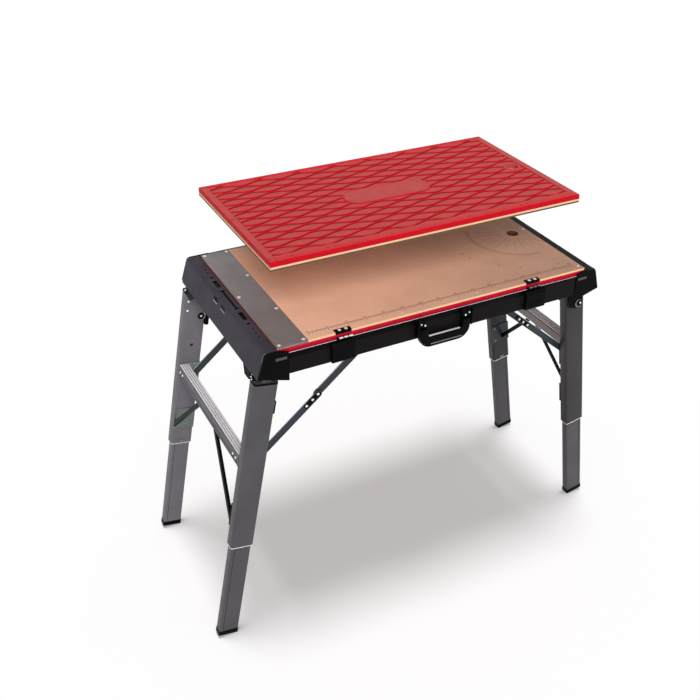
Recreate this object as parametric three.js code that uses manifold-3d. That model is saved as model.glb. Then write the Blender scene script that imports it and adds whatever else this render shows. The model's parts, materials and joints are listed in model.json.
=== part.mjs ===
// Folding workbench with a reversible top: a rail frame with two folding, telescoping leg
// frames, folding braces, a carry handle, two edge latches, and a second top panel held above.
// Millimetres, +Z up, +X along the bench to the right, +Y to the back, floor at Z = 0.
import * as THREE from 'three';
import { mergeVertices } from 'three/addons/utils/BufferGeometryUtils.js';
import Module from 'manifold-3d';

const wasm = await Module();
wasm.setup();

// General clearances
const SEAT = 0.3; // gap between pieces that rest on each other
const RUN = 0.4; // running gap round pins and between sliding or swinging pieces
const OVER = 1; // how far a cut runs past the face it opens

// Worktop
const BOARD_L = 860;
const BOARD_W = 492;
const WORK_Z = 858; // height of the worktop surface
const CORE_T = 9; // fibreboard layer
const MAT_T = 12; // red rubber layer under it
const HOLE_R = 16; // finger hole through the top
const HOLE_IN = 50; // finger hole, in from the right end
const PLATE_W = 76; // steel plate on the left end of the top
const PLATE_T = 1.6;

// Rails, front and back
const RAIL_H = 52;
const RAIL_T = 3.5;
const RAIL_PROUD = 4.5; // how far the front rail stands out past the board edge
const BACK_PROUD = 16; // the back rail, which shows as a ledge behind the board
const FLANGE_W = 53;
const RAIL_END_IN = 26; // rail end, in from the board end
const BRACKET_T = 3.2; // hanging brace bracket
const BRACKET_R = 12;

// End beams
const BEAM_DROP = 6; // top strip below the worktop surface
const BEAM_GAP = 1; // board end to beam
const STRIP_W = 34; // flat top strip with its rounded edge
const STRIP_T = 5;
const BEAM_LEAN = 17 * Math.PI / 180; // face of the beam, out of upright
const BEAM_H = 65;
const BEAM_T = 4;
const BEAM_R = 10; // rounded top edge
const EAR_H = 17; // lower ears at the ends of the left beam
const EAR_Y0 = 165;
const EAR_SLOPE = 20;
const EAR_GAP = 4; // ear end to leg face
const POCKET_D = 3; // depth of the recesses in the left strip
const STRIP_SHIFT = 10; // middle of the recesses, back from the middle of the beam
const SLOT_L = 100;
const SLOT_W = 5;
const SLOT_END = 12; // cross cut at each end of the slot
const POCKET_L = 37;
const POCKET_W = 11;
const POCKET_GAP = 16.5;
const BOLT_HOLE_R = 4;
const BOLT_HOLE_GAP = 18;
const BIT_R = 2.6; // row of small tool holes
const BIT_GAP = 28; // bolt hole to the first tool hole
const BIT_PITCH = 17.5;
const BIT_COUNT = 3;
const HOOK_L = 27; // two openings through the rounded edge of the left beam
const HOOK_H = 11;
const HOOK_PITCH = 48;
const HOOK_DROP = 6; // top of an opening, below the strip
const HOOK_SHIFT = 20; // middle of the pair, back from the middle of the beam

// Corner castings
const CAP_T = 6.1; // outer plate
const CAP_PROUD = 2; // outer plate past the rail face
const CAP_H = 61;
const CAP_TOP_DROP = 13; // top of the plate at the rail end, below the worktop
const ROOF_T = 10.4;
const CHEEK_T = 8;
const CHEEK_R = 11;
const CHEEK_GAP = 12; // cheek to the inside of the beam
const LUG_T = 12;
const LUG_R = 16;
const LUG_IN = 27; // straight inner edge of a lug, in from the pivot
const LUG_LOW = 9; // inner corner of a lug, below the pivot
const PIN_SKIN = 2; // casting left over the end of a left pivot pin
const RECESS_L = 30; // long grip recess in the outer plate
const RECESS_H = 8;
const RECESS_D = 1.5;
const RECESS_DROP = 10;
const RECESS_IN = 4;

// Leg frames
const SPLAY = 10.1 * Math.PI / 180;
const LEG_W = 60;
const LEG_D = 31;
const LEG_WALL = 3.6; // with the liner that guides the inner tube
const INNER_WALL = 2;
const LEG_R = 6;
const LEG_GAP = 1.5; // leg face to rail web
const FOLD_GAP = 13; // folded left leg to rail flange
const PIVOT_DROP = 59; // right pivots below the left ones, so that the right frame folds under the left rung
const RIGHT_PIVOT_OUT = 27.5; // right pivot out from the board end
const PIN_R = 5;
const PIN_HEAD_R = 9;
const PIN_HEAD_T = 3.8;
const BOLT_HEAD_R = 12;
const NECK_DROP = 22; // left legs hang from a narrow neck, this far below the pivot
const NECK_D = 24;
const HEAD_UP = 24; // right tubes run on above the pivot
const SLEEVE_Z = 300; // height of the lower ends of the outer tubes
const INSERT = 170; // inner tube inside the outer tube
const FOOT_H = 14;
const FOOT_LIP = 0.9;
const PLUG_H = 16;
const BORE_R = 1; // inside corner of the inner tube
const LEG_HOLE_R = 4.5; // hole in the inner face of a left leg
const LEG_HOLE_D = 177; // pivot to that hole, along the leg

// Rungs, gussets and stays
const RUNG_W = 27;
const RUNG_H = 33;
const RUNG_R = 3;
const RUNG_INSET = 0.5; // rung in from the outer face of the leg
const GROOVES = 3;
const GROOVE_W = 2.4;
const GROOVE_D = 1.2;
const LEFT_RUNG_D = 250; // pivot to rung, along the leg
const RIGHT_RUNG_D = 176;
const GUSSET_T = 2;
const GUSSET_UP = 4;
const GUSSET_DOWN = 34;
const STAY_REACH = 160; // stay along the rung
const STAY_RISE = 170; // stay along the leg
const RIGHT_STAY_RISE = 164;
const STAY_T = 12;
const STAY_W = 8;
const RIGHT_STAY_W = 5.5; // clears the folded arms
const STAY_FOOT_H = 66; // foot plate of the stay on the leg
const STAY_FOOT_LOW = 8; // foot plate below the bar

// Folding braces
const BRACE_W = 18;
const BRACE_T = 4.1;
const BRACE_IN = 13; // lower pivot, in from the leg centre line
const LEFT_BRACE_BELOW = 16; // lower pivot below the rung centre
const RIGHT_BRACE_BELOW = 8;
const LEFT_BRACE_REACH = 294; // leg pivot to the brace pivot on the rail, level
const RIGHT_BRACE_REACH = 277.5;
const LEFT_BRACE_DROP = 30.2; // brace pivot below the rail flange
const RIGHT_BRACE_DROP = 33.2;
const LEFT_LOWER_ARM = 228.7; // lower arm, pivot to elbow
const RIGHT_LOWER_ARM = 226;
const RIVET_R = 5;
const RIVET_H = 1.2;

// Height locks: a sprung button in the inner face of each outer tube
const BUTTON_UP = 9; // middle of the button, above the sleeve end
const BUTTON_W = 16;
const BUTTON_H = 8.5;
const BUTTON_IN = 0.6; // into the tube wall
const BUTTON_PROUD = 1.8;

// Edge clips and latches
const CLIP_X = 271;
const CLIP_W = 48;
const CLIP_IN = 20;
const CLIP_T = 3;
const SCREW_R = 4.5;
const SCREW_H = 1.6;
const SCREW_PITCH = 20;
const LATCH_W = 60;
const LATCH_H = 52;
const LATCH_T = 12;
const LATCH_TOP_DROP = 20; // latch top below the worktop
const LATCH_BEVEL = 6;

// Carry handle
const GRIP_W = 106;
const GRIP_ARM = 16;
const GRIP_BAR = 22;
const GRIP_T = 14;
const GRIP_DROP = 55; // pivot to the bottom of the grip
const GRIP_HEAD = 6; // arm above the pivot
const GRIP_OFF = 3; // grip to rail face
const GRIP_CHAMFER = 12;
const GRIP_FILLET = 5;
const GRIP_PIVOT_DROP = 50; // pivot below the worktop
const STUB_R = 4;
const STUB_L = 8;
const MOUNT_W = 24;
const MOUNT_H = 28;
const MOUNT_D = 18;

// Lifted panel
const PANEL_L = 827;
const PANEL_W = 442;
const PANEL_X = -16;
const PANEL_TOP = 1058;
const PANEL_HOLE_IN = 46;
const PANEL_EDGE = 4; // low rim round the field
const PANEL_RIM = 1;
const CATCH_X = 267;
const CATCH_W = 44;
const CATCH_D = 6;
const CATCH_H = 8;

// Derived planes
const coreZ = WORK_Z - CORE_T;
const matZ = coreZ - MAT_T;
const railTop = matZ - SEAT;
const railBottom = railTop - RAIL_H;
const flangeZ = railTop - RAIL_T;
const boardY = BOARD_W / 2;
const boardX = BOARD_L / 2;
const railY = boardY + RAIL_PROUD;
const railOut = (sy) => (sy < 0 ? railY : boardY + BACK_PROUD); // rail face
const capOut = (sy) => railOut(sy) + CAP_PROUD; // outer plate of a casting
const capIn = (sy) => capOut(sy) - CAP_T;
const railX = boardX - RAIL_END_IN;
const legYLeft = railY - RAIL_T - LEG_GAP - LEG_D / 2;
const braceRoom = GUSSET_T + 2 * BRACE_T + 2 * SEAT + 3 * RUN;
const legYRight = legYLeft - LEG_D - braceRoom;
const leftPivotZ = flangeZ - FOLD_GAP - LEG_W / 2;
const beamTop = WORK_Z - BEAM_DROP;
const beamX = boardX + BEAM_GAP;
const lean = Math.tan(BEAM_LEAN);
const bendX = STRIP_W - BEAM_R; // centre of the rounded edge, out from the beam's inner edge
const bendIn = BEAM_R - BEAM_T;
const faceTop = bendX + bendIn * Math.cos(BEAM_LEAN); // top of the beam's inner face
const faceTopDrop = BEAM_R - bendIn * Math.sin(BEAM_LEAN);
const faceIn = (drop) => faceTop + (drop - faceTopDrop) * lean;
const leftPivotX = beamX + faceIn(beamTop - leftPivotZ) - CHEEK_R - CHEEK_GAP;
const rightPivotX = boardX + RIGHT_PIVOT_OUT;
const rightPivotZ = leftPivotZ - PIVOT_DROP;
const innerW = LEG_W - 2 * LEG_WALL - 2 * RUN;
const innerD = LEG_D - 2 * LEG_WALL - 2 * RUN;

// Left and right leg frames: side, pivot, leg line, rung and brace stations, and the outer face of the
// stays, which run along the outer edge of the left rung and the inner edge of the right one
const LEFT = {
  key: 'left', s: -1, px: -leftPivotX, pz: leftPivotZ, y: legYLeft, rung: LEFT_RUNG_D,
  below: LEFT_BRACE_BELOW, lowerArm: LEFT_LOWER_ARM,
  stayOut: LEG_W / 2 - RUNG_INSET, stayW: STAY_W, stayRise: STAY_RISE,
  top: { x: LEFT_BRACE_REACH - leftPivotX, z: flangeZ - LEFT_BRACE_DROP },
};
const RIGHT = {
  key: 'right', s: 1, px: rightPivotX, pz: rightPivotZ, y: legYRight, rung: RIGHT_RUNG_D,
  below: RIGHT_BRACE_BELOW, lowerArm: RIGHT_LOWER_ARM,
  stayOut: LEG_W / 2 - RUNG_INSET - RUNG_W + RIGHT_STAY_W, stayW: RIGHT_STAY_W, stayRise: RIGHT_STAY_RISE,
  top: { x: rightPivotX - RIGHT_BRACE_REACH, z: flangeZ - RIGHT_BRACE_DROP },
};

// Materials
function paint(color, roughness, metalness = 0) {
  return new THREE.MeshStandardMaterial({ color, roughness, metalness });
}
const BLACK = paint(0x17171a, 0.5, 0.2);
const CASTING = paint(0x131316, 0.6);
const PURPLE = paint(0x47434d, 0.55, 0.2);
const STEEL = paint(0x7a7272, 0.4, 0.8);
const ZINC = paint(0x8a9694, 0.35, 0.9);
const FIBREBOARD = paint(0xc99b7a, 0.8);
const RED = paint(0xc4122f, 0.6);
const LEGGREY = paint(0x66626a, 0.45, 0.4);
const ALU = paint(0xaaa6ad, 0.35, 0.9);
const ARM = paint(0x262b35, 0.45, 0.5);

// Solids
function solid(geometry) {
  const g = geometry.clone();
  g.deleteAttribute('normal');
  g.deleteAttribute('uv');
  const m = mergeVertices(g, 1e-4);
  return new wasm.Manifold(new wasm.Mesh({
    numProp: 3,
    vertProperties: new Float32Array(m.attributes.position.array),
    triVerts: new Uint32Array(m.index.array),
  }));
}

function meshOf(name, body, material) {
  const m = body.getMesh();
  const g = new THREE.BufferGeometry();
  g.setAttribute('position', new THREE.BufferAttribute(new Float32Array(m.vertProperties), 3));
  g.setIndex(new THREE.BufferAttribute(new Uint32Array(m.triVerts), 1));
  g.computeVertexNormals();
  const mesh = new THREE.Mesh(g, material);
  mesh.name = name;
  return mesh;
}

const join = (...bodies) => bodies.reduce((a, b) => a.add(b));

function block(x0, x1, y0, y1, z0, z1) {
  const g = new THREE.BoxGeometry(Math.abs(x1 - x0), Math.abs(y1 - y0), Math.abs(z1 - z0));
  g.translate((x0 + x1) / 2, (y0 + y1) / 2, (z0 + z1) / 2);
  return solid(g);
}

function shapeOf(points) {
  return new THREE.Shape(points.map(([a, b]) => new THREE.Vector2(a, b)));
}

function roundRect(w, h, r) {
  const s = new THREE.Shape();
  s.moveTo(-w / 2 + r, -h / 2);
  s.lineTo(w / 2 - r, -h / 2);
  s.absarc(w / 2 - r, -h / 2 + r, r, -Math.PI / 2, 0, false);
  s.lineTo(w / 2, h / 2 - r);
  s.absarc(w / 2 - r, h / 2 - r, r, 0, Math.PI / 2, false);
  s.lineTo(-w / 2 + r, h / 2);
  s.absarc(-w / 2 + r, h / 2 - r, r, Math.PI / 2, Math.PI, false);
  s.lineTo(-w / 2, -h / 2 + r);
  s.absarc(-w / 2 + r, -h / 2 + r, r, Math.PI, 1.5 * Math.PI, false);
  return s;
}

// A bar with round ends, pivots at the origin and at (length, 0)
function bar(length, w) {
  const s = new THREE.Shape();
  s.absarc(length, 0, w / 2, -Math.PI / 2, Math.PI / 2, false);
  s.absarc(0, 0, w / 2, Math.PI / 2, 1.5 * Math.PI, false);
  return s;
}

function extrude(shape, depth, curveSegments = 3) {
  return new THREE.ExtrudeGeometry(shape, { depth, bevelEnabled: false, curveSegments, steps: 1 });
}

const order = (a, b) => [Math.min(a, b), Math.max(a, b)];

// Shape drawn in X and Z, from one Y to another
function prismY(shape, ya, yb, seg) {
  const [y0, y1] = order(ya, yb);
  const g = extrude(shape, y1 - y0, seg);
  g.rotateX(Math.PI / 2);
  g.translate(0, y1, 0);
  return solid(g);
}

// Shape drawn in Y and Z, from one X to another
function prismX(shape, xa, xb, seg) {
  const [x0, x1] = order(xa, xb);
  const g = extrude(shape, x1 - x0, seg);
  g.rotateX(Math.PI / 2);
  g.rotateZ(Math.PI / 2);
  g.translate(x0, 0, 0);
  return solid(g);
}

// Shape drawn in X and Y, from one Z to another
function prismZ(shape, za, zb, seg) {
  const [z0, z1] = order(za, zb);
  const g = extrude(shape, z1 - z0, seg);
  g.translate(0, 0, z0);
  return solid(g);
}

function rodY(x, z, r, ya, yb, n = 20) {
  const [y0, y1] = order(ya, yb);
  const g = new THREE.CylinderGeometry(r, r, y1 - y0, n);
  g.translate(x, (y0 + y1) / 2, z);
  return solid(g);
}

function rodX(y, z, r, xa, xb, n = 20) {
  const [x0, x1] = order(xa, xb);
  const g = new THREE.CylinderGeometry(r, r, x1 - x0, n);
  g.rotateZ(Math.PI / 2);
  g.translate((x0 + x1) / 2, y, z);
  return solid(g);
}

function rodZ(x, y, r, za, zb, n = 24) {
  const [z0, z1] = order(za, zb);
  const g = new THREE.CylinderGeometry(r, r, z1 - z0, n);
  g.rotateX(Math.PI / 2);
  g.translate(x, y, (z0 + z1) / 2);
  return solid(g);
}

const bench = new THREE.Group();
bench.name = 'folding_workbench';

// Worktop: fibreboard over red rubber, finger hole through both, steel plate on the left end
{
  const hole = rodZ(boardX - HOLE_IN, 0, HOLE_R, matZ - OVER, WORK_Z + OVER);
  const seatX = -boardX + PLATE_W + SEAT;
  const seatZ = WORK_Z - PLATE_T - SEAT;
  const inlay = block(-boardX - OVER, seatX, -boardY - OVER, boardY + OVER, seatZ, WORK_Z + OVER);
  const core = block(-boardX, boardX, -boardY, boardY, coreZ, WORK_Z).subtract(hole).subtract(inlay);
  const mat = block(-boardX, boardX, -boardY, boardY, matZ, coreZ - SEAT).subtract(hole);
  bench.add(meshOf('worktop_board', core, FIBREBOARD));
  bench.add(meshOf('worktop_mat', mat, RED));
  const plate = block(-boardX, -boardX + PLATE_W, -boardY, boardY, WORK_Z - PLATE_T, WORK_Z);
  bench.add(meshOf('steel_plate', plate, STEEL));
}

// Rails: outer web, top flange, and hanging brackets for the brace tops
function railBracket(frame, sy, y1) {
  const { x, z } = frame.top;
  const y0 = y1 - BRACKET_T;
  const bracket = join(
    block(x - BRACKET_R, x + BRACKET_R, sy * y0, sy * y1, z, railTop),
    rodY(x, z, BRACKET_R, sy * y0, sy * y1, 24),
    block(x - BRACKET_R, x + BRACKET_R, sy * y0, sy * railOut(sy), flangeZ, railTop),
  );
  return bracket.subtract(rodY(x, z, PIN_R, sy * (y0 - OVER), sy * (y1 + OVER), 16));
}

const slabLeft = legYLeft - LEG_D / 2 - SEAT - GUSSET_T - SEAT; // outer face of the left lower arms
const slabRight = legYRight - LEG_D / 2 - SEAT - GUSSET_T - SEAT;
const upperIn = (slab) => slab - 2 * BRACE_T - RUN; // inner face of the upper arms

for (const [name, sy] of [['rail_front', -1], ['rail_back', 1]]) {
  const out = railOut(sy);
  let rail = join(
    block(-railX, railX, sy * (out - RAIL_T), sy * out, railBottom, railTop),
    block(-railX, railX, sy * (railY - FLANGE_W), sy * out, flangeZ, railTop),
    railBracket(LEFT, sy, upperIn(slabLeft) - RUN),
    railBracket(RIGHT, sy, upperIn(slabRight) - RUN),
  );
  if (sy > 0) rail = rail.add(block(-railX, railX, boardY + BEAM_GAP, out, flangeZ, beamTop));
  bench.add(meshOf(name, rail, BLACK));
}

// End beams: bent sheet with a flat top strip and a face that leans out
function beamProfile(depth) {
  const steps = 5;
  const turn = Math.PI / 2 - BEAM_LEAN;
  const outer = [[0, 0]];
  const inner = [[0, -STRIP_T]];
  for (let i = 0; i <= steps; i += 1) {
    const a = Math.PI / 2 - (turn * i) / steps;
    outer.push([bendX + BEAM_R * Math.cos(a), -BEAM_R + BEAM_R * Math.sin(a)]);
    const z = -BEAM_R + bendIn * Math.sin(a);
    if (z < -STRIP_T) inner.push([bendX + bendIn * Math.cos(a), z]);
  }
  const foot = ([x, z]) => [x + (z + depth) * lean, -depth];
  outer.push(foot(outer[outer.length - 1]));
  inner.push(foot(inner[inner.length - 1]));
  return outer.concat(inner.reverse());
}

// Recesses in the left strip: a long slot, two pockets, bolt holes and tool holes, alike either side,
// and two openings through the rounded edge
function stripRecesses() {
  const x = -(beamX + bendX / 2);
  const z0 = beamTop - POCKET_D;
  const z1 = beamTop + OVER;
  const recess = (w, ya, yb) => block(x - w / 2, x + w / 2, STRIP_SHIFT + ya, STRIP_SHIFT + yb, z0, z1);
  const hole = (y, r, n) => rodZ(x, STRIP_SHIFT + y, r, z0, z1, n);
  const slotEnd = SLOT_L / 2;
  const pocket0 = slotEnd + POCKET_GAP;
  const pocket1 = pocket0 + POCKET_L;
  const boltY = pocket1 + BOLT_HOLE_GAP;
  const hookTop = beamTop - HOOK_DROP;
  const hookIn = -(beamX + bendX);
  const hookOut = -(beamX + STRIP_W + HOOK_H);
  const cuts = [recess(SLOT_W, -slotEnd, slotEnd)];
  for (const sy of [-1, 1]) {
    cuts.push(recess(SLOT_END, sy * (slotEnd - SLOT_W), sy * slotEnd));
    cuts.push(recess(POCKET_W, sy * pocket0, sy * pocket1));
    cuts.push(hole(sy * boltY, BOLT_HOLE_R, 14));
    for (let i = 0; i < BIT_COUNT; i += 1) cuts.push(hole(sy * (boltY + BIT_GAP + BIT_PITCH * i), BIT_R, 10));
    const hookY = HOOK_SHIFT + (sy * HOOK_PITCH) / 2;
    cuts.push(block(hookOut, hookIn, hookY - HOOK_L / 2, hookY + HOOK_L / 2, hookTop - HOOK_H, hookTop));
  }
  return join(...cuts);
}

for (const frame of [LEFT, RIGHT]) {
  const end = (sy) => sy * (capIn(sy) - SEAT);
  const left = frame.s < 0;
  const depth = left ? BEAM_H + EAR_H : BEAM_H;
  const at = ([x, z]) => [frame.s * (beamX + x), beamTop + z];
  let beam = prismY(shapeOf(beamProfile(depth).map(at)), end(-1), end(1));
  if (left) {
    const low = beamTop - BEAM_H;
    const x0 = -(beamX + STRIP_W + depth * lean + OVER);
    const x1 = -beamX;
    const earEnd = frame.y - LEG_D / 2 - EAR_GAP;
    const wide = EAR_Y0 + EAR_SLOPE;
    const span = shapeOf([[-wide, low - EAR_H], [-wide, low - EAR_H - OVER], [wide, low - EAR_H - OVER],
      [wide, low - EAR_H], [EAR_Y0, low], [-EAR_Y0, low]]);
    beam = beam.subtract(prismX(span, x0, x1)).subtract(stripRecesses());
    for (const sy of [-1, 1]) {
      beam = beam.subtract(block(x0, x1, sy * earEnd, end(sy) + sy * OVER, low - EAR_H - OVER, low));
    }
  }
  bench.add(meshOf(`end_beam_${frame.key}`, beam, left ? PURPLE : BLACK));
}

// Corner castings: an outer plate that closes the rail and the beam, a roof block and the pivot lugs
function casting(frame, sy) {
  const { s, pz } = frame;
  const px = Math.abs(frame.px);
  const left = s < 0;
  const xIn = railX + SEAT;
  const top = sy < 0 ? WORK_Z - CAP_TOP_DROP : beamTop;
  const capY = capOut(sy);
  const capInY = capIn(sy);
  const edge = beamX + STRIP_W;
  const zLow = beamTop - CAP_H;
  const outLow = edge + (CAP_H - BEAM_R) * lean;
  const bend = BEAM_R * (1 - Math.SQRT1_2);
  const side = (points) => shapeOf(points.map(([x, z]) => [s * x, z]));
  const plate = prismY(side([
    [xIn, zLow - (outLow - xIn) * lean], [outLow, zLow], [edge, beamTop - BEAM_R],
    [edge - bend, beamTop - bend], [edge - BEAM_R, beamTop], [boardX, beamTop], [xIn, top],
  ]), sy * capInY, sy * capY);
  const legOut = frame.y + LEG_D / 2;
  const legIn = frame.y - LEG_D / 2;
  const lugT = left ? CHEEK_T : LUG_T;
  const roofIn = legIn - RUN - lugT;
  const roofX = beamX + bendX - BEAM_T;
  const roofLow = railTop - ROOF_T;
  const root = roofLow + OVER;
  const roof = block(s * xIn, s * roofX, sy * roofIn, sy * (capInY + OVER), roofLow, railTop - SEAT);
  const lug = (y0) => {
    const y1 = y0 + lugT;
    const r = left ? CHEEK_R : LUG_R;
    const inner = left ? px - r : px - LUG_IN;
    const low = left ? pz : pz - LUG_LOW;
    const outline = side([[inner, low], [px, pz - r], [px + r, pz], [roofX, root], [inner, root]]);
    const cheek = prismY(outline, sy * y0, sy * y1);
    return cheek.add(rodY(frame.px, pz, r, sy * y0, sy * y1, 24));
  };
  const recess = block(s * (xIn + RECESS_IN), s * (xIn + RECESS_IN + RECESS_L), sy * (capY - RECESS_D),
    sy * (capY + OVER), top - RECESS_DROP - RECESS_H, top - RECESS_DROP);
  let body = join(plate, roof, lug(roofIn));
  if (sy > 0) {
    body = body.add(block(s * xIn, s * (beamX - SEAT), boardY + BEAM_GAP, capInY + OVER, roofLow, beamTop));
  }
  let bore = capY - PIN_SKIN;
  if (!left) {
    body = body.add(lug(legOut + RUN));
    bore = legOut + RUN + lugT + OVER;
  }
  return body.subtract(recess).subtract(rodY(frame.px, pz, PIN_R + SEAT, sy * (roofIn - OVER), sy * bore));
}

for (const frame of [LEFT, RIGHT]) {
  for (const [where, sy] of [['front', -1], ['back', 1]]) {
    bench.add(meshOf(`corner_${where}_${frame.key}`, casting(frame, sy), CASTING));
    const left = frame.s < 0;
    const y0 = frame.y - LEG_D / 2 - RUN - (left ? CHEEK_T : LUG_T) - SEAT;
    const y1 = left ? capOut(sy) - PIN_SKIN - SEAT : frame.y + LEG_D / 2 + RUN + LUG_T + SEAT;
    let pin = join(
      rodY(frame.px, frame.pz, PIN_R, sy * y0, sy * y1),
      rodY(frame.px, frame.pz, PIN_HEAD_R, sy * (y0 - PIN_HEAD_T), sy * y0, 24),
    );
    if (!left) pin = pin.add(rodY(frame.px, frame.pz, BOLT_HEAD_R, sy * y1, sy * (y1 + PIN_HEAD_T), 24));
    bench.add(meshOf(`pivot_pin_${where}_${frame.key}`, pin, ZINC));
  }
}

// Leg frames, drawn straight down from the pivot in a group that is turned by the splay
for (const frame of [LEFT, RIGHT]) {
  const { s } = frame;
  const inward = -s;
  const left = s < 0;
  const group = new THREE.Group();
  group.position.set(frame.px, 0, frame.pz);
  group.rotation.y = -s * SPLAY;
  const cosS = Math.cos(SPLAY);
  const sleeveD = (frame.pz - SLEEVE_Z) / cosS;
  const footW = innerW + 2 * FOOT_LIP;
  const footD = innerD + 2 * FOOT_LIP;
  const legD = (frame.pz - (footW / 2) * Math.sin(SPLAY)) / cosS; // pivot to the middle of the foot sole
  const topD = left ? NECK_DROP : -HEAD_UP;
  const rungX = -inward * (LEG_W / 2 - RUNG_W / 2 - RUNG_INSET);
  const legIn = frame.y - LEG_D / 2;
  const gussetOut = legIn - SEAT;
  const gussetIn = gussetOut - GUSSET_T;
  const plateX = LEG_W / 2 - RUNG_INSET;

  for (const [where, sy] of [['front', -1], ['back', 1]]) {
    const cy = sy * frame.y;
    const key = `${where}_${frame.key}`;
    const at = (b) => b.translate([0, cy, 0]);

    // Outer tube, with a narrow neck up to the pivot or a head past it
    let tube = prismZ(roundRect(LEG_W, LEG_D, LEG_R), -sleeveD, -topD);
    const cavity = prismZ(roundRect(LEG_W - 2 * LEG_WALL, LEG_D - 2 * LEG_WALL, LEG_R - LEG_WALL),
      -sleeveD - OVER, -NECK_DROP - LEG_W / 2);
    if (left) {
      tube = tube.add(block(-CHEEK_R, CHEEK_R, -NECK_D / 2, NECK_D / 2, -topD - OVER, 0));
      tube = tube.add(rodY(0, 0, CHEEK_R, -NECK_D / 2, NECK_D / 2, 24));
    }
    const faceY = -sy * (LEG_D / 2);
    const wallIn = faceY + sy * (LEG_WALL + OVER);
    const wallOut = faceY - sy * OVER;
    const buttonD = sleeveD - BUTTON_UP;
    const buttonBlock = (gap, y0, y1) => block(-BUTTON_W / 2 - gap, BUTTON_W / 2 + gap, y0, y1,
      -buttonD - BUTTON_H / 2 - gap, -buttonD + BUTTON_H / 2 + gap);
    tube = tube.subtract(cavity).subtract(rodY(0, 0, PIN_R + SEAT, -LEG_D, LEG_D));
    tube = tube.subtract(buttonBlock(RUN, wallIn, wallOut));
    if (left) tube = tube.subtract(rodY(0, -LEG_HOLE_D, LEG_HOLE_R, wallIn, wallOut, 16));
    group.add(meshOf(`leg_outer_${key}`, at(tube), LEGGREY));

    // Height lock: a button in a window of the outer tube
    const button = buttonBlock(0, faceY + sy * BUTTON_IN, faceY - sy * BUTTON_PROUD);
    group.add(meshOf(`lock_button_${key}`, at(button), ZINC));

    // Inner tube and foot cap
    const innerEnd = legD - FOOT_H;
    const innerTop = sleeveD - INSERT;
    const boreW = innerW - 2 * INNER_WALL;
    const boreD = innerD - 2 * INNER_WALL;
    const inner = prismZ(roundRect(innerW, innerD, LEG_R - LEG_WALL), -innerEnd, -innerTop)
      .subtract(prismZ(roundRect(boreW, boreD, BORE_R), -innerEnd - OVER, -innerTop + OVER));
    group.add(meshOf(`leg_inner_${key}`, at(inner), LEGGREY));
    const foot = join(
      prismZ(roundRect(footW, footD, LEG_R - LEG_WALL), -legD, -innerEnd - SEAT),
      prismZ(roundRect(boreW - 2 * SEAT, boreD - 2 * SEAT, BORE_R), -innerEnd - OVER, -innerEnd + PLUG_H),
    );
    group.add(meshOf(`foot_${key}`, at(foot), CASTING));

    // Gusset plate on the inner face of the leg, behind the rung end, with the brace pivot hole
    const gTop = -(frame.rung - RUNG_H / 2);
    const gLow = -(frame.rung + RUNG_H / 2);
    const outline = shapeOf([[-inward * plateX, gTop], [-inward * plateX, gLow], [0, gLow - GUSSET_DOWN],
      [inward * plateX, gLow - GUSSET_DOWN], [inward * plateX, gTop + GUSSET_UP], [0, gTop + GUSSET_UP]]);
    const braceZ = -frame.rung - frame.below;
    const gusset = prismY(outline, sy * gussetIn, sy * gussetOut)
      .subtract(rodY(inward * BRACE_IN, braceZ, PIN_R, sy * (gussetIn - OVER), sy * (gussetOut + OVER), 16));
    group.add(meshOf(`gusset_${key}`, gusset, ZINC));

    // Knee stay from the underside of the rung down to a foot plate on the inner face of the leg
    const zTop = -(frame.rung + RUNG_H / 2 + SEAT);
    const zLow = zTop - frame.stayRise;
    const slant = Math.hypot(STAY_REACH, frame.stayRise);
    const rungEnd = gussetOut - STAY_REACH;
    const barShape = shapeOf([[sy * rungEnd, zTop], [sy * (rungEnd + (STAY_T * slant) / frame.stayRise), zTop],
      [sy * gussetOut, zLow + (STAY_T * slant) / STAY_REACH], [sy * gussetOut, zLow]]);
    const footLow = zLow - STAY_FOOT_LOW;
    const stay = prismX(barShape, -inward * frame.stayOut, -inward * (frame.stayOut - frame.stayW))
      .add(block(-plateX, plateX, sy * gussetIn, sy * gussetOut, footLow, footLow + STAY_FOOT_H));
    group.add(meshOf(`stay_${key}`, stay, ARM));
  }

  // Rung between the gussets, grooved along its top
  const rungHalf = gussetIn - SEAT;
  const section = extrude(roundRect(RUNG_W, RUNG_H, RUNG_R), 2 * rungHalf, 2);
  section.rotateX(Math.PI / 2);
  section.translate(rungX, rungHalf, -frame.rung);
  let rung = solid(section);
  const tread = RUNG_W - 2 * RUNG_R;
  const treadZ = -frame.rung + RUNG_H / 2;
  for (let i = 0; i < GROOVES; i += 1) {
    const x = rungX + ((i + 0.5) / GROOVES - 0.5) * tread;
    rung = rung.subtract(block(x - GROOVE_W / 2, x + GROOVE_W / 2, -rungHalf - OVER, rungHalf + OVER,
      treadZ - GROOVE_D, treadZ + OVER));
  }
  group.add(meshOf(`rung_${frame.key}`, rung, ALU));
  bench.add(group);

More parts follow.
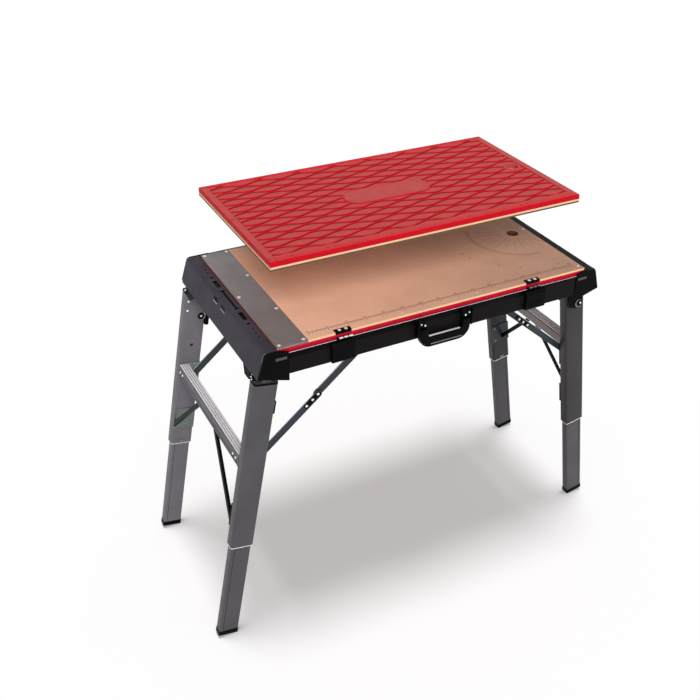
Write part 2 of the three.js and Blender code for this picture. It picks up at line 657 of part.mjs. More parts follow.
  // Folding braces: the lower arm turns on the gusset, the upper arm on the rail bracket
  const braceD = frame.rung + frame.below;
  const ax = frame.px + inward * (BRACE_IN * cosS) + s * braceD * Math.sin(SPLAY);
  const az = frame.pz - braceD * cosS - BRACE_IN * Math.sin(SPLAY);
  const dx = frame.top.x - ax;
  const dz = frame.top.z - az;
  const length = Math.hypot(dx, dz);
  const lowerL = frame.lowerArm;
  const upperL = length - lowerL;
  const slab = left ? slabLeft : slabRight;
  const turn = Math.atan2(dz, dx);
  for (const [where, sy] of [['front', -1], ['back', 1]]) {
    const key = `${where}_${frame.key}`;
    const lowIn = slab - BRACE_T;
    const pinR = PIN_R - SEAT;
    const lower = new THREE.Group();
    lower.position.set(ax, 0, az);
    lower.rotation.y = -turn;
    const lowArm = prismY(bar(lowerL, BRACE_W), sy * lowIn, sy * slab, 6)
      .add(rodY(0, 0, pinR, sy * (slab - OVER), sy * (slab + SEAT + GUSSET_T), 16));
    lower.add(meshOf(`brace_lower_${key}`, lowArm, ARM));
    const upper = new THREE.Group();
    upper.position.set(frame.top.x, 0, frame.top.z);
    upper.rotation.y = -turn - Math.PI;
    const upOut = lowIn - RUN;
    const upIn = upOut - BRACE_T;
    const upArm = join(
      prismY(bar(upperL, BRACE_W), sy * upIn, sy * upOut, 6),
      rodY(upperL, 0, RIVET_R, sy * (upIn - RIVET_H), sy * (upIn + OVER), 16),
      rodY(0, 0, pinR, sy * (upIn - RUN - BRACKET_T), sy * (upIn + OVER), 16),
    );
    upper.add(meshOf(`brace_upper_${key}`, upArm, ARM));
    bench.add(lower, upper);
  }
}

// Edge clips: a screwed plate on the worktop and a latch in front of the rail
for (const [key, sx] of [['left', -1], ['right', 1]]) {
  const cx = sx * CLIP_X;
  const z0 = WORK_Z + SEAT;
  let plate = block(cx - CLIP_W / 2, cx + CLIP_W / 2, -boardY, -boardY + CLIP_IN, z0, z0 + CLIP_T);
  for (const k of [-1, 1]) {
    plate = plate.add(rodZ(cx + (k * SCREW_PITCH) / 2, -boardY + CLIP_IN / 2, SCREW_R, z0 + CLIP_T - OVER,
      z0 + CLIP_T + SCREW_H, 14));
  }
  bench.add(meshOf(`clip_plate_${key}`, plate, CASTING));
  const yBack = -(railY + SEAT);
  const top = WORK_Z - LATCH_TOP_DROP;
  const low = top - LATCH_H;
  const r = LATCH_T / 2;
  const side = new THREE.Shape();
  side.moveTo(yBack, top);
  side.lineTo(yBack - LATCH_T + LATCH_BEVEL, top);
  side.lineTo(yBack - LATCH_T, top - LATCH_BEVEL);
  side.lineTo(yBack - LATCH_T, low + r);
  side.absarc(yBack - r, low + r, r, Math.PI, 2 * Math.PI, false);
  side.lineTo(yBack, top);
  bench.add(meshOf(`clip_latch_${key}`, prismX(side, cx - LATCH_W / 2, cx + LATCH_W / 2, 8), CASTING));
}

// Carry handle: two mounts on the front rail and a grip that swings on stub pins
{
  const yPivot = -(railY + SEAT + GRIP_OFF + GRIP_T / 2);
  const zPivot = WORK_Z - GRIP_PIVOT_DROP;
  const w = GRIP_W / 2;
  const inX = w - GRIP_ARM;
  const low = -GRIP_DROP;
  const barTop = low + GRIP_BAR;
  const rightHalf = [[w - GRIP_CHAMFER, low], [w, low + GRIP_CHAMFER], [w, GRIP_HEAD], [inX, GRIP_HEAD],
    [inX, barTop + GRIP_FILLET], [inX - GRIP_FILLET, barTop]];
  const leftHalf = rightHalf.map(([x, z]) => [-x, z]).reverse();
  const outline = shapeOf(rightHalf.concat(leftHalf).map(([x, z]) => [x, z + zPivot]));
  let grip = prismY(outline, yPivot - GRIP_T / 2, yPivot + GRIP_T / 2);
  const mountY = -(railY + SEAT);
  for (const [key, sx] of [['left', -1], ['right', 1]]) {
    grip = grip.add(rodX(yPivot, zPivot, STUB_R, sx * (w - OVER), sx * (w + STUB_L), 16));
    const x0 = sx * (w + RUN);
    const x1 = x0 + sx * MOUNT_W;
    const mount = block(x0, x1, mountY - MOUNT_D, mountY, zPivot - MOUNT_H / 2, zPivot + MOUNT_H / 2)
      .subtract(rodX(yPivot, zPivot, STUB_R + SEAT, x0 - sx * OVER, sx * (w + STUB_L + SEAT), 16));
    bench.add(meshOf(`handle_mount_${key}`, mount, CASTING));
  }
  bench.add(meshOf('handle_grip', grip, CASTING));
}

// The second panel, red side up, lifted above the worktop
{
  const x0 = PANEL_X - PANEL_L / 2;
  const x1 = PANEL_X + PANEL_L / 2;
  const y1 = PANEL_W / 2;
  const zMat = PANEL_TOP - MAT_T;
  const hole = rodZ(x1 - PANEL_HOLE_IN, 0, HOLE_R, zMat - SEAT - CORE_T - OVER, PANEL_TOP + OVER);
  const rimZ = PANEL_TOP - PANEL_RIM;
  const fieldY = y1 - PANEL_EDGE;
  const field = block(x0 + PANEL_EDGE, x1 - PANEL_EDGE, -fieldY, fieldY, rimZ - OVER, PANEL_TOP);
  const mat = join(block(x0, x1, -y1, y1, zMat, rimZ), field).subtract(hole);
  bench.add(meshOf('panel_mat', mat, RED));
  const wood = block(x0, x1, -y1, y1, zMat - SEAT - CORE_T, zMat - SEAT).subtract(hole);
  bench.add(meshOf('panel_board', wood, FIBREBOARD));
  for (const [key, sx] of [['left', -1], ['right', 1]]) {
    const cx = PANEL_X + sx * CATCH_X;
    const z1 = zMat - SEAT;
    const back = y1 + SEAT;
    const hook = block(cx - CATCH_W / 2, cx + CATCH_W / 2, back, back + CATCH_D, z1 - CATCH_H, z1);
    bench.add(meshOf(`panel_catch_${key}`, hook, CASTING));
  }
}

export default bench;
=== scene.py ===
import json
import math

import bmesh
import bpy
import numpy as np
from bpy.props import FloatProperty, FloatVectorProperty, IntProperty, PointerProperty
from mathutils import Matrix, Vector

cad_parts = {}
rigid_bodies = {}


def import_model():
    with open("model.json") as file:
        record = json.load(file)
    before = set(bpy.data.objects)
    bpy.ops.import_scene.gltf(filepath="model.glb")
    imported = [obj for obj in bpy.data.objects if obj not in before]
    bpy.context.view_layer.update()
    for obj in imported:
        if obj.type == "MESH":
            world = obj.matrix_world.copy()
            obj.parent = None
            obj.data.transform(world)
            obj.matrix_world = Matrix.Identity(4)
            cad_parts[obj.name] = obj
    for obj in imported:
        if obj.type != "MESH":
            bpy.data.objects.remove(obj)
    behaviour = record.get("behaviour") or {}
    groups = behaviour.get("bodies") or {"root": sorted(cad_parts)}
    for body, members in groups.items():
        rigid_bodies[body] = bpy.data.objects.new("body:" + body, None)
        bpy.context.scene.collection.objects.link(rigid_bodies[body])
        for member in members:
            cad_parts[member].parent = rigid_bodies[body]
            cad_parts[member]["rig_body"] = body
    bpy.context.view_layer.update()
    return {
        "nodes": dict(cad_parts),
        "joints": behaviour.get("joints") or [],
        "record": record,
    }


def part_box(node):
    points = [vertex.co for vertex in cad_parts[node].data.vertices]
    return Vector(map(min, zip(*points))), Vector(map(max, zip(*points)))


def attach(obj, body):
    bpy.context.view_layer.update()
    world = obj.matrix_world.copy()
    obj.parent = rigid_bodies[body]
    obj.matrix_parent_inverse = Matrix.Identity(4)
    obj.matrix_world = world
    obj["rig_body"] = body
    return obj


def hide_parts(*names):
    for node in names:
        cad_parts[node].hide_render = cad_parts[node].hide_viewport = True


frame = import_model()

bl_info = {
    "name": "Folding workbench dressing",
    "version": (1, 0, 0),
    "blender": (4, 5, 0),
    "location": "View3D > Sidebar > Workbench",
    "description": "Finishes and fine detail of a folding workbench on its packed frame",
    "category": "Add Mesh",
}

ENDS = {"left": -1, "right": 1}
SIDES = {"front": -1, "back": 1}
LEGS = [(side, end) for end in ENDS for side in SIDES]
JOINTS = {joint["name"]: joint for joint in frame["joints"]}
MM = 0.001
LEG_WIDTH = 60.0  # outer leg tube, from its outer to its inner edge, in mm
RUNG_AT = {"left": 250.0, "right": 176.0}  # leg pivot to the middle of the rung, along the leg, in mm
LOWER_ARM = {"left": 228.7, "right": 226.0}  # lower brace arm, pivot to elbow, in mm


def srgb(r, g, b):
    """A screen colour of 0 to 255 a channel, as linear light."""
    c = np.array((r, g, b)) / 255.0
    return tuple(float(v) for v in np.where(c <= 0.04045, c / 12.92, ((c + 0.055) / 1.055) ** 2.4))


def size(name, text, millimetres):
    """A length property, stored in metres."""
    return FloatProperty(name=name, description=text, default=millimetres * MM, subtype="DISTANCE", unit="LENGTH")


def tint(name, text, r, g, b):
    """A colour property from a screen colour."""
    return FloatVectorProperty(name=name, description=text, default=srgb(r, g, b), subtype="COLOR", size=3, min=0, max=1)


class WorkbenchSizes(bpy.types.PropertyGroup):
    """Sizes of the fine detail."""
    rib_period: size("Rib period", "Length of one wave of a mat rib", 103.5)
    rib_pitch: size("Rib pitch", "Distance between neighbouring ribs", 20)
    rib_swing: size("Rib swing", "How far a rib waves to either side", 6.0)
    rib_width: size("Rib width", "Width of a rib at its foot", 5.8)
    rib_height: size("Rib height", "Height of a rib over the field", 2.4)
    border_front: size("Front border", "Flat border at the front of the mat", 26)
    border_back: size("Back border", "Flat border at the back of the mat", 14)
    border_end: size("End border", "Flat border at the ends of the mat", 18.5)
    oval_length: size("Oval length", "Bare oval in the middle of the mat", 237)
    oval_width: size("Oval width", "Bare oval in the middle of the mat", 78)
    screw_radius: size("Screw radius", "Head of a plate screw", 4.4)
    tick_pitch: size("Tick pitch", "Distance between marks of the scale", 5)
    scale_line: size("Scale line", "Base line of the scale, from the middle of the worktop", -216)
    numeral: size("Numeral height", "Height of the numbers of the scale", 9)
    soften: FloatProperty(name="Edge softness", description="Factor on every edge radius", default=1, min=0, max=3)
    rung_ribs: IntProperty(name="Rung ribs", description="Ribs on the top of the left rung", default=4, min=1)
    fine_ribs: IntProperty(name="Fine rung ribs", description="Ribs on the top of the right rung", default=5, min=1)


class WorkbenchColours(bpy.types.PropertyGroup):
    """Colours of the finishes."""
    fibreboard: tint("Fibreboard", "Face of the worktop", 216, 170, 144)
    board_edge: tint("Board edge", "Cut edge of the board", 236, 190, 148)
    strip: tint("Red strip", "Red layer under the worktop", 182, 6, 40)
    ink: tint("Ink", "Printed scale", 92, 58, 42)
    red: tint("Red", "Ribs and edges of the rubber", 212, 4, 31)
    # Painted sheen: the flat parts of the rubber are painted a paler pink than the ribs.
    rose_sheen: tint("Rose", "Flat parts of the rubber", 190, 75, 73)
    black: tint("Black coat", "Rails and right end beam", 20, 17, 17)
    violet: tint("Violet grey coat", "Left end beam", 60, 56, 65)
    plastic: tint("Black plastic", "Corners, clips, handle and feet", 6, 6, 7)
    plate: tint("Plate steel", "Steel plate of the worktop", 122, 117, 118)
    leg: tint("Leg grey", "Front left and right inner leg tubes", 75, 73, 77)
    # The leg grey painted lighter for the back left tubes, as painted light, and darker for the right outer tubes, as
    # painted shade.
    leg_painted_light: tint("Pale leg grey", "Back left leg tubes", 100, 97, 103)
    leg_painted_shade: tint("Dark leg grey", "Right outer leg tubes", 54, 52, 54)
    rung: tint("Rung aluminium", "Treads of the rungs", 228, 228, 230)
    rung_face: tint("Rung face", "Smooth side of the right rung", 122, 116, 113)
    rung_side: tint("Rung side", "Sides of the rungs", 74, 70, 80)
    zinc: tint("Zinc", "Gussets, pins and screws", 112, 122, 117)
    brace: tint("Brace steel", "Folding braces and stays", 38, 46, 54)


class WorkbenchStage(bpy.types.PropertyGroup):
    """Camera, floor and light."""
    lens: FloatProperty(name="Lens", description="Focal length on a 36 mm sensor", default=48.585, unit="CAMERA")
    eye: FloatVectorProperty(name="Eye", description="Camera position", default=(-1.109, -1.865, 1.998), subtype="XYZ", unit="LENGTH")
    azimuth: FloatProperty(name="Azimuth", description="Heading of the view", default=math.radians(28.01), subtype="ANGLE")
    elevation: FloatProperty(name="Elevation", description="How far the view looks down", default=math.radians(33.13), subtype="ANGLE")
    roll: FloatProperty(name="Roll", description="Turn of the camera about its view", default=math.radians(1.01), subtype="ANGLE")
    fill: FloatProperty(name="Fill", description="Strength of the light from all round", default=0.3)
    key: FloatProperty(name="Key", description="Strength of the soft front light on the bench", default=3.0)
    top: FloatProperty(name="Top", description="Strength of the soft light from above on the floor", default=1.6)
    floor: tint("Floor", "Colour of the floor", 246, 246, 246)


def sizes():
    return bpy.context.scene.workbench_sizes


def colours():
    return bpy.context.scene.workbench_colours


# Surfaces: each returns points and faces, as arrays

def grid_faces(rows, cols, wrap_rows=False, wrap_cols=False):
    """Quads of a grid of points laid out row by row, each point joined to the next in its row and column."""
    r, c = np.meshgrid(np.arange(rows if wrap_rows else rows - 1), np.arange(cols if wrap_cols else cols - 1), indexing="ij")
    r2, c2 = (r + 1) % rows, (c + 1) % cols
    return np.stack([r * cols + c, r * cols + c2, r2 * cols + c2, r2 * cols + c], -1).reshape(-1, 4)


def combine(*shells):
    """Shells one after another: each shell's face numbers start after the points before it."""
    points, faces, start = [], [], 0
    for p, f in shells:
        points.append(p)
        faces += [face + start for face in f] if isinstance(f, list) else [f + start]
        start += len(p)
    return np.concatenate(points), faces


def axes_of(axis):
    """Two unit vectors square to an axis and to each other, and the axis."""
    w = np.array(axis, float) / np.linalg.norm(axis)
    u = np.cross([0.0, 1.0, 0.0] if abs(w[1]) < 0.9 else [1.0, 0.0, 0.0], w)
    u /= np.linalg.norm(u)
    return u, np.cross(w, u), w


def turned(profile, centre, axis, steps=24):
    """A profile of (radius, height) turned about an axis: point = centre + radius (cos a u + sin a v) + height w."""
    profile = np.array(profile, float)
    u, v, w = axes_of(axis)
    a = np.linspace(0, 2 * np.pi, steps, endpoint=False)[:, None, None]
    r, h = profile[:, 0][None, :, None], profile[:, 1][None, :, None]
    points = np.array(centre) + r * (np.cos(a) * u + np.sin(a) * v) + h * w
    return points.reshape(-1, 3), [grid_faces(steps, len(profile), wrap_rows=True)]


def dome(radius, height, rim, rings=5):
    """Profile of a low round head: height falls with the square root of 1 - (r / radius) squared, above a straight rim."""
    t = np.linspace(0, np.pi / 2, rings)
    top = np.stack([radius * np.sin(t), rim + height * np.cos(t)], -1)
    return np.vstack([[(0, -0.2 * MM), (radius, -0.2 * MM)], top[::-1]])


def cross_screw(centre, axis, radius, height, spin=0.4):
    """A round head with a cross slot: height over (r, a) is a dome less a cross-shaped dip with smooth walls."""
    u, v, w = axes_of(axis)
    r = np.concatenate([[0], np.linspace(0.08, 1, 13)])[None, :] * radius
    a = np.linspace(0, 2 * np.pi, 48, endpoint=False)[:, None]
    x, y = r * np.cos(a + spin), r * np.sin(a + spin)
    arm = lambda p, q: np.clip(1.6 - np.abs(p) / (0.14 * radius), 0, 1) * np.clip(3.4 - np.abs(q) / (0.2 * radius), 0, 1)
    slot = np.maximum(arm(x, y), arm(y, x))
    h = height * np.sqrt(np.clip(1 - 0.8 * (r / radius) ** 2, 0, 1)) - 0.75 * height * slot
    top = np.array(centre) + r[..., None] * (np.cos(a)[..., None] * u + np.sin(a)[..., None] * v) + h[..., None] * w
    skirt = np.array(centre) + radius * (np.cos(a) * u + np.sin(a) * v) - 0.2 * MM * w
    points = np.concatenate([top, skirt[:, None, :], np.broadcast_to(np.array(centre) - 0.2 * MM * w, (48, 1, 3))], 1)
    return points.reshape(-1, 3), [grid_faces(48, points.shape[1], wrap_rows=True)]


def hexagon(centre, axis, across, height):
    """A bolt head: a six-sided prism with a turned crown, six steps about the axis."""
    c = across / math.sqrt(3)
    profile = [(0, -0.2 * MM), (c, -0.2 * MM), (c, 0.8 * height), (0.86 * c, height), (0, height)]
    return turned(profile, centre, axis, 6)


def swept(profile, path, side, up):
    """A closed profile (a, b) carried along a path: point = path + a side + b up, with flat caps at both ends."""
    profile, path = np.array(profile, float), np.array(path, float)
    side, up = np.broadcast_to(side, path.shape), np.broadcast_to(up, path.shape)
    points = path[:, None] + profile[None, :, :1] * side[:, None] + profile[None, :, 1:] * up[:, None]
    n, m = len(path), len(profile)
    caps = [np.arange(m)[::-1][None], (np.arange(m) + (n - 1) * m)[None]]
    return points.reshape(-1, 3), [grid_faces(n, m, wrap_cols=True)] + caps


def ring(profile, loop, side, up):
    """A closed profile carried round a closed loop of points, with its own side and up at each point."""
    profile, loop = np.array(profile, float), np.array(loop, float)
    points = loop[:, None] + profile[None, :, :1] * side[:, None] + profile[None, :, 1:] * up[:, None]
    return points.reshape(-1, 3), [grid_faces(len(loop), len(profile), True, True)]


def rounded_box_loop(width, depth, radius, steps=5):
    """Points (a, b) and outward directions round a rectangle with round corners."""
    t = np.linspace(0, np.pi / 2, steps)
    corner = np.stack([np.cos(t), np.sin(t)], -1)
    turns = [np.array([[c, -s], [s, c]]) for c, s in ((1, 0), (0, 1), (-1, 0), (0, -1))]
    out = np.concatenate([corner @ m.T for m in turns])
    sx = np.repeat([1, -1, -1, 1], steps)
    sy = np.repeat([1, 1, -1, -1], steps)
    centre = np.stack([sx * (width / 2 - radius), sy * (depth / 2 - radius)], -1)
    return centre + radius * out, out


def slabs(centres, halves, turn=None):
    """Thin boxes: each box has its centre, half sizes along X, Y and Z, and a turn about Z."""
    centres, halves = np.broadcast_arrays(np.array(centres, float), np.array(halves, float))
    sign = np.array([[-1, -1, -1], [1, -1, -1], [1, 1, -1], [-1, 1, -1], [-1, -1, 1], [1, -1, 1], [1, 1, 1], [-1, 1, 1]])
    local = sign[None] * halves[:, None]
    if turn is not None:
        c, s = np.cos(turn)[:, None], np.sin(turn)[:, None]
        local = np.stack([c * local[..., 0] - s * local[..., 1], s * local[..., 0] + c * local[..., 1], local[..., 2]], -1)
    quads = np.array([[0, 3, 2, 1], [4, 5, 6, 7], [0, 1, 5, 4], [1, 2, 6, 5], [2, 3, 7, 6], [3, 0, 4, 7]])
    faces = (quads[None] + 8 * np.arange(len(centres))[:, None, None]).reshape(-1, 4)
    return (centres[:, None] + local).reshape(-1, 3), [faces]


def rounded_bar(low, high, radius, axis):
    """A box with round edges along one axis: a rounded rectangle carried along that axis, with its ends drawn in."""
    low, high = np.array(low, float), np.array(high, float)
    middle, half = (low + high) / 2, (high - low) / 2
    i, j = [k for k in range(3) if k != axis]
    loop, _ = rounded_box_loop(2 * half[i], 2 * half[j], radius)
    t = np.linspace(0, np.pi / 2, 4)
    draw = np.concatenate([1 - np.sin(t), (1 - np.sin(t))[::-1]]) * radius
    along = np.concatenate([radius * (1 - np.cos(t)) - half[axis], half[axis] - radius * (1 - np.cos(t))[::-1]])
    scale = np.stack([1 - draw / half[i], 1 - draw / half[j]], -1)
    points = np.zeros((8, len(loop), 3))
    points[..., i] = loop[None, :, 0] * scale[:, :1]
    points[..., j] = loop[None, :, 1] * scale[:, 1:]
    points[..., axis] = along[:, None]
    n = len(loop)
    caps = [np.arange(n)[::-1][None], (np.arange(n) + 7 * n)[None]]
    return (points + middle).reshape(-1, 3), [grid_faces(8, n, wrap_cols=True)] + caps


def stadium(length, half, steps=13):
    """Points (a, b) and outward directions round a bar with round ends, from 0 to its length."""
    t = np.linspace(-np.pi / 2, np.pi / 2, steps)
    out = np.stack([np.cos(t), np.sin(t)], -1)
    out = np.vstack([out, -out])
    return half * out + np.repeat([[length, 0.0], [0.0, 0.0]], steps, 0), out


# Pieces

def mesh_of(name, points, faces, flat=None):
    """A mesh from arrays of points and of faces, with doubles merged and faces turned outwards. A value for each point
    can be kept as the attribute flat."""
    mesh = bpy.data.meshes.new(name)
    faces = [f for group in faces for f in np.asarray(group).tolist()]
    mesh.from_pydata(np.asarray(points).tolist(), [], faces)
    if flat is not None:
        mesh.attributes.new("flat", "FLOAT", "POINT").data.foreach_set("value", np.asarray(flat, np.float32))
    work = bmesh.new()
    work.from_mesh(mesh)
    bmesh.ops.remove_doubles(work, verts=work.verts, dist=1e-6)
    bmesh.ops.recalc_face_normals(work, faces=work.faces)
    work.to_mesh(mesh)
    work.free()
    return mesh


def place(mesh, name, body, material, nodes=(), angle=35):
    """Links a mesh as a piece that rides on a body, smooth but for edges sharper than the angle."""
    obj = bpy.data.objects.new(name, mesh)
    bpy.context.scene.collection.objects.link(obj)
    mesh.materials.clear()
    mesh.materials.append(material)
    mesh.shade_smooth()
    mesh.set_sharp_from_angle(angle=math.radians(angle))
    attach(obj, body)
    if nodes:
        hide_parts(*nodes)
    return obj


def piece(name, shell, body, material, nodes=(), angle=35):
    """A new piece from one shell of points and faces."""
    return place(mesh_of(name, *shell), name, body, material, nodes, angle)


def softened(node, radius, material=None, segments=3, angle=40):
    """A copy of a CAD node with its doubles merged, flat faces joined and its sharp edges rounded to a radius in mm."""
    source = frame["nodes"][node]
    mesh = source.data.copy()
    mesh.name = node + "_soft"
    work = bmesh.new()
    work.from_mesh(mesh)
    bmesh.ops.remove_doubles(work, verts=work.verts, dist=1e-5)
    bmesh.ops.dissolve_limit(work, angle_limit=math.radians(0.6), verts=work.verts, edges=work.edges)
    work.to_mesh(mesh)
    work.free()
    record_slot = next(s["material_slot"] for s in frame["record"]["subparts"] if s["node"] == node)
    obj = place(mesh, node + "_soft", source["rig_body"], material or finish(record_slot), [node])
    bevel = obj.modifiers.new("soft edges", "BEVEL")
    bevel.width = radius * MM * sizes().soften
    bevel.segments = segments
    bevel.limit_method = "ANGLE"
    bevel.angle_limit = math.radians(angle)
    bevel.harden_normals = True
    bevel.use_clamp_overlap = True
    return obj


class LegFrame:
    """Leg coordinates of one end: across (inwards), y, and down from the pivot along the leg."""

    def __init__(self, end):
        self.end, self.s = end, ENDS[end]
        self.pivot = np.array(JOINTS[f"{end}_leg_fold"]["pos_m"])
        rise = np.array(JOINTS[f"leg_height_front_{end}"]["axis"])
        self.down = -rise
        self.inward = np.array([-self.s * rise[2], 0.0, self.s * rise[0]])

    def at(self, across, y, down):
        """Points at across, y and down in mm."""
        a, b, c = np.broadcast_arrays(*(np.asarray(v, float) for v in (across, y, down)))
        y_axis = np.array([0.0, 1.0, 0.0])
        return self.pivot + MM * (a[..., None] * self.inward + b[..., None] * y_axis + c[..., None] * self.down)

    def sleeve(self, side):
        """Inner and outer face of the leg tube, and the length of the outer tube, in mm."""
        low, high = (np.array(v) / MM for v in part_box(f"leg_outer_{side}_{self.end}"))
        near, far = sorted((low[1], high[1]), key=abs)
        tilt = math.asin(abs(self.down[0]))
        drop = (self.pivot[2] / MM - low[2]) / math.cos(tilt) - LEG_WIDTH / 2 * math.tan(tilt)
        return near, far, drop


# Finishes

FINISHES = {}


class Shader:
    """A material with its main shader and short calls for the nodes that feed it."""

    def __init__(self, name):
        self.material = bpy.data.materials.new(name)
        self.material.use_nodes = True
        self.tree = self.material.node_tree
        self.bsdf = self.tree.nodes["Principled BSDF"]
        self.coordinate = self.node("ShaderNodeTexCoord").outputs["Object"]

    def node(self, kind, **values):
        n = self.tree.nodes.new(kind)
        for key, value in values.items():
            if key in n.inputs:
                n.inputs[key].default_value = value
            else:
                setattr(n, key, value)
        return n

    def link(self, output, target):
        self.tree.links.new(output, target)

    def noise(self, scale, detail=3.0, stretch=(1, 1, 1), rough=0.5):
        """Noise of so many features a metre, stretched by a factor on each axis."""
        mapping = self.node("ShaderNodeMapping", Scale=stretch)
        self.link(self.coordinate, mapping.inputs["Vector"])
        n = self.node("ShaderNodeTexNoise", Scale=scale, Detail=detail, Roughness=rough)
        self.link(mapping.outputs["Vector"], n.inputs["Vector"])
        return n.outputs["Fac"]

    def cells(self, scale, stretch=(1, 1, 1)):
        """Cells of one flat value each, so many a metre."""
        mapping = self.node("ShaderNodeMapping", Scale=stretch)
        self.link(self.coordinate, mapping.inputs["Vector"])
        n = self.node("ShaderNodeTexVoronoi", Scale=scale)
        self.link(mapping.outputs["Vector"], n.inputs["Vector"])
        return n.outputs["Color"]

    def ramp(self, value, *stops):
        """Colour over a value: stops of (position, colour)."""
        n = self.node("ShaderNodeValToRGB")
        while len(n.color_ramp.elements) < len(stops):
            n.color_ramp.elements.new(0.5)
        for element, (position, colour) in zip(n.color_ramp.elements, stops):
            element.position = position
            element.color = (*colour, 1)
        self.link(value, n.inputs["Fac"])
        return n.outputs["Color"]

    def between(self, value, low, high, lowest, highest):
        """A value moved from one range to another."""
        n = self.node("ShaderNodeMapRange")
        for key, v in (("From Min", low), ("From Max", high), ("To Min", lowest), ("To Max", highest)):
            n.inputs[key].default_value = v
        self.link(value, n.inputs["Value"])
        return n.outputs["Result"]

    def mix(self, factor, first, second, blend="MIX"):
        """Two colours mixed by a factor."""
        n = self.node("ShaderNodeMix", data_type="RGBA", blend_type=blend)
        for source, target in ((factor, n.inputs[0]), (first, n.inputs[6]), (second, n.inputs[7])):
            if hasattr(source, "is_linked"):
                self.link(source, target)
            else:
                target.default_value = source if isinstance(source, float) else (*source, 1)
        return n.outputs[2]

    def bump(self, value, strength, depth):
        n = self.node("ShaderNodeBump", Strength=strength, Distance=depth * MM)
        self.link(value, n.inputs["Height"])
        self.link(n.outputs["Normal"], self.bsdf.inputs["Normal"])

    def inside(self, low, high):
        """1 where the piece's own position lies in a box, and 0 outside it."""
        parts = self.node("ShaderNodeSeparateXYZ")
        self.link(self.coordinate, parts.inputs["Vector"])
        total = None
        for i, axis in enumerate("XYZ"):
            test = self.node("ShaderNodeMath", operation="COMPARE")
            self.link(parts.outputs[axis], test.inputs[0])
            test.inputs[1].default_value, test.inputs[2].default_value = (low[i] + high[i]) / 2, (high[i] - low[i]) / 2
            if total is None:
                total = test.outputs["Value"]
                continue
            both = self.node("ShaderNodeMath", operation="MULTIPLY")
            self.link(total, both.inputs[0])
            self.link(test.outputs["Value"], both.inputs[1])
            total = both.outputs["Value"]
        return total

    def colour(self, output):
        self.link(output, self.bsdf.inputs["Base Color"])

    def roughness(self, output):
        self.link(output, self.bsdf.inputs["Roughness"])

    def set(self, **values):
        for key, value in values.items():
            self.bsdf.inputs[key.replace("_", " ")].default_value = value


def shade(colour, factor):
    return tuple(min(1.0, c * factor) for c in colour)


def coat(name, colour, low, high, metal, specular, fleck=0.0, bare=()):
    """Powder coat: slow patches and fine flecks in the colour, an orange-peel skin, rubbed patches in the gloss. Boxes
    given as bare are painted near black; the left beam uses them for painted shade in its recess and for its black
    lower ears."""
    s = Shader(name)
    base = s.ramp(s.noise(9, 4), (0.3, shade(colour, 0.86)), (0.7, shade(colour, 1.12)))
    fine = s.ramp(s.noise(1400, 2), (0.35, (1 - fleck,) * 3), (0.65, (1 + fleck,) * 3))
    tone = s.mix(1.0, base, fine, "MULTIPLY")
    for box in bare:
        tone = s.mix(s.inside(*box), tone, srgb(3, 3, 3))
    s.colour(tone)
    s.roughness(s.between(s.noise(26, 5), 0.3, 0.7, low, high))
    s.bump(s.noise(620, 2), 0.12, 0.25)
    s.set(Metallic=metal, Specular_IOR_Level=specular)
    return s.material


def black_powder_coat():
    return coat("black_powder_coat", tuple(colours().black), 0.4, 0.52, 0.0, 0.04, 0.1)


def violet_grey_coat():
    """The coat of the left beam, with its recess painted black as painted shade and its lower ears black."""
    low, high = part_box("end_beam_left")
    # Painted shade: the recess band along the inner top of the beam is painted near black.
    recess = ((high.x - 20 * MM, low.y, high.z - 4 * MM), (high.x - 4 * MM, high.y, high.z - 0.7 * MM))
    ears = ((low.x, low.y, low.z - MM), (high.x, high.y, low.z + 16.6 * MM))
    return coat("violet_grey_coat", tuple(colours().violet), 0.42, 0.55, 0.0, 0.07, 0.08, (recess, ears))


def leg_grey():
    return coat("leg_grey", tuple(colours().leg), 0.36, 0.48, 0.15, 0.2, 0.1)


# The leg grey painted lighter: painted light.
def leg_painted_light():
    return coat("leg_painted_light", tuple(colours().leg_painted_light), 0.36, 0.48, 0.15, 0.2, 0.1)


# The leg grey painted darker: painted shade.
def leg_painted_shade():
    return coat("leg_painted_shade", tuple(colours().leg_painted_shade), 0.36, 0.48, 0.15, 0.2, 0.1)


def rung_face():
    return coat("rung_face", tuple(colours().rung_face), 0.34, 0.46, 0.2, 0.3, 0.1)


def rung_side():
    return coat("rung_side", tuple(colours().rung_side), 0.36, 0.48, 0.2, 0.3, 0.1)


def brace_steel():
    return coat("brace_steel", tuple(colours().brace), 0.3, 0.45, 0.3, 0.4, 0.12)


def black_plastic():
    """Moulded plastic, also used for dark pieces that stand as painted shade and shadow: a fine pebbled skin, with slow
    patches in the gloss.
    """
    s = Shader("black_plastic")
    colour = tuple(colours().plastic)
    s.colour(s.ramp(s.noise(30, 4), (0.35, shade(colour, 0.8)), (0.7, shade(colour, 1.25))))
    s.roughness(s.between(s.noise(60, 4), 0.3, 0.7, 0.3, 0.42))
    s.bump(s.noise(1500, 1), 0.12, 0.2)
    s.set(Specular_IOR_Level=0.04)
    return s.material


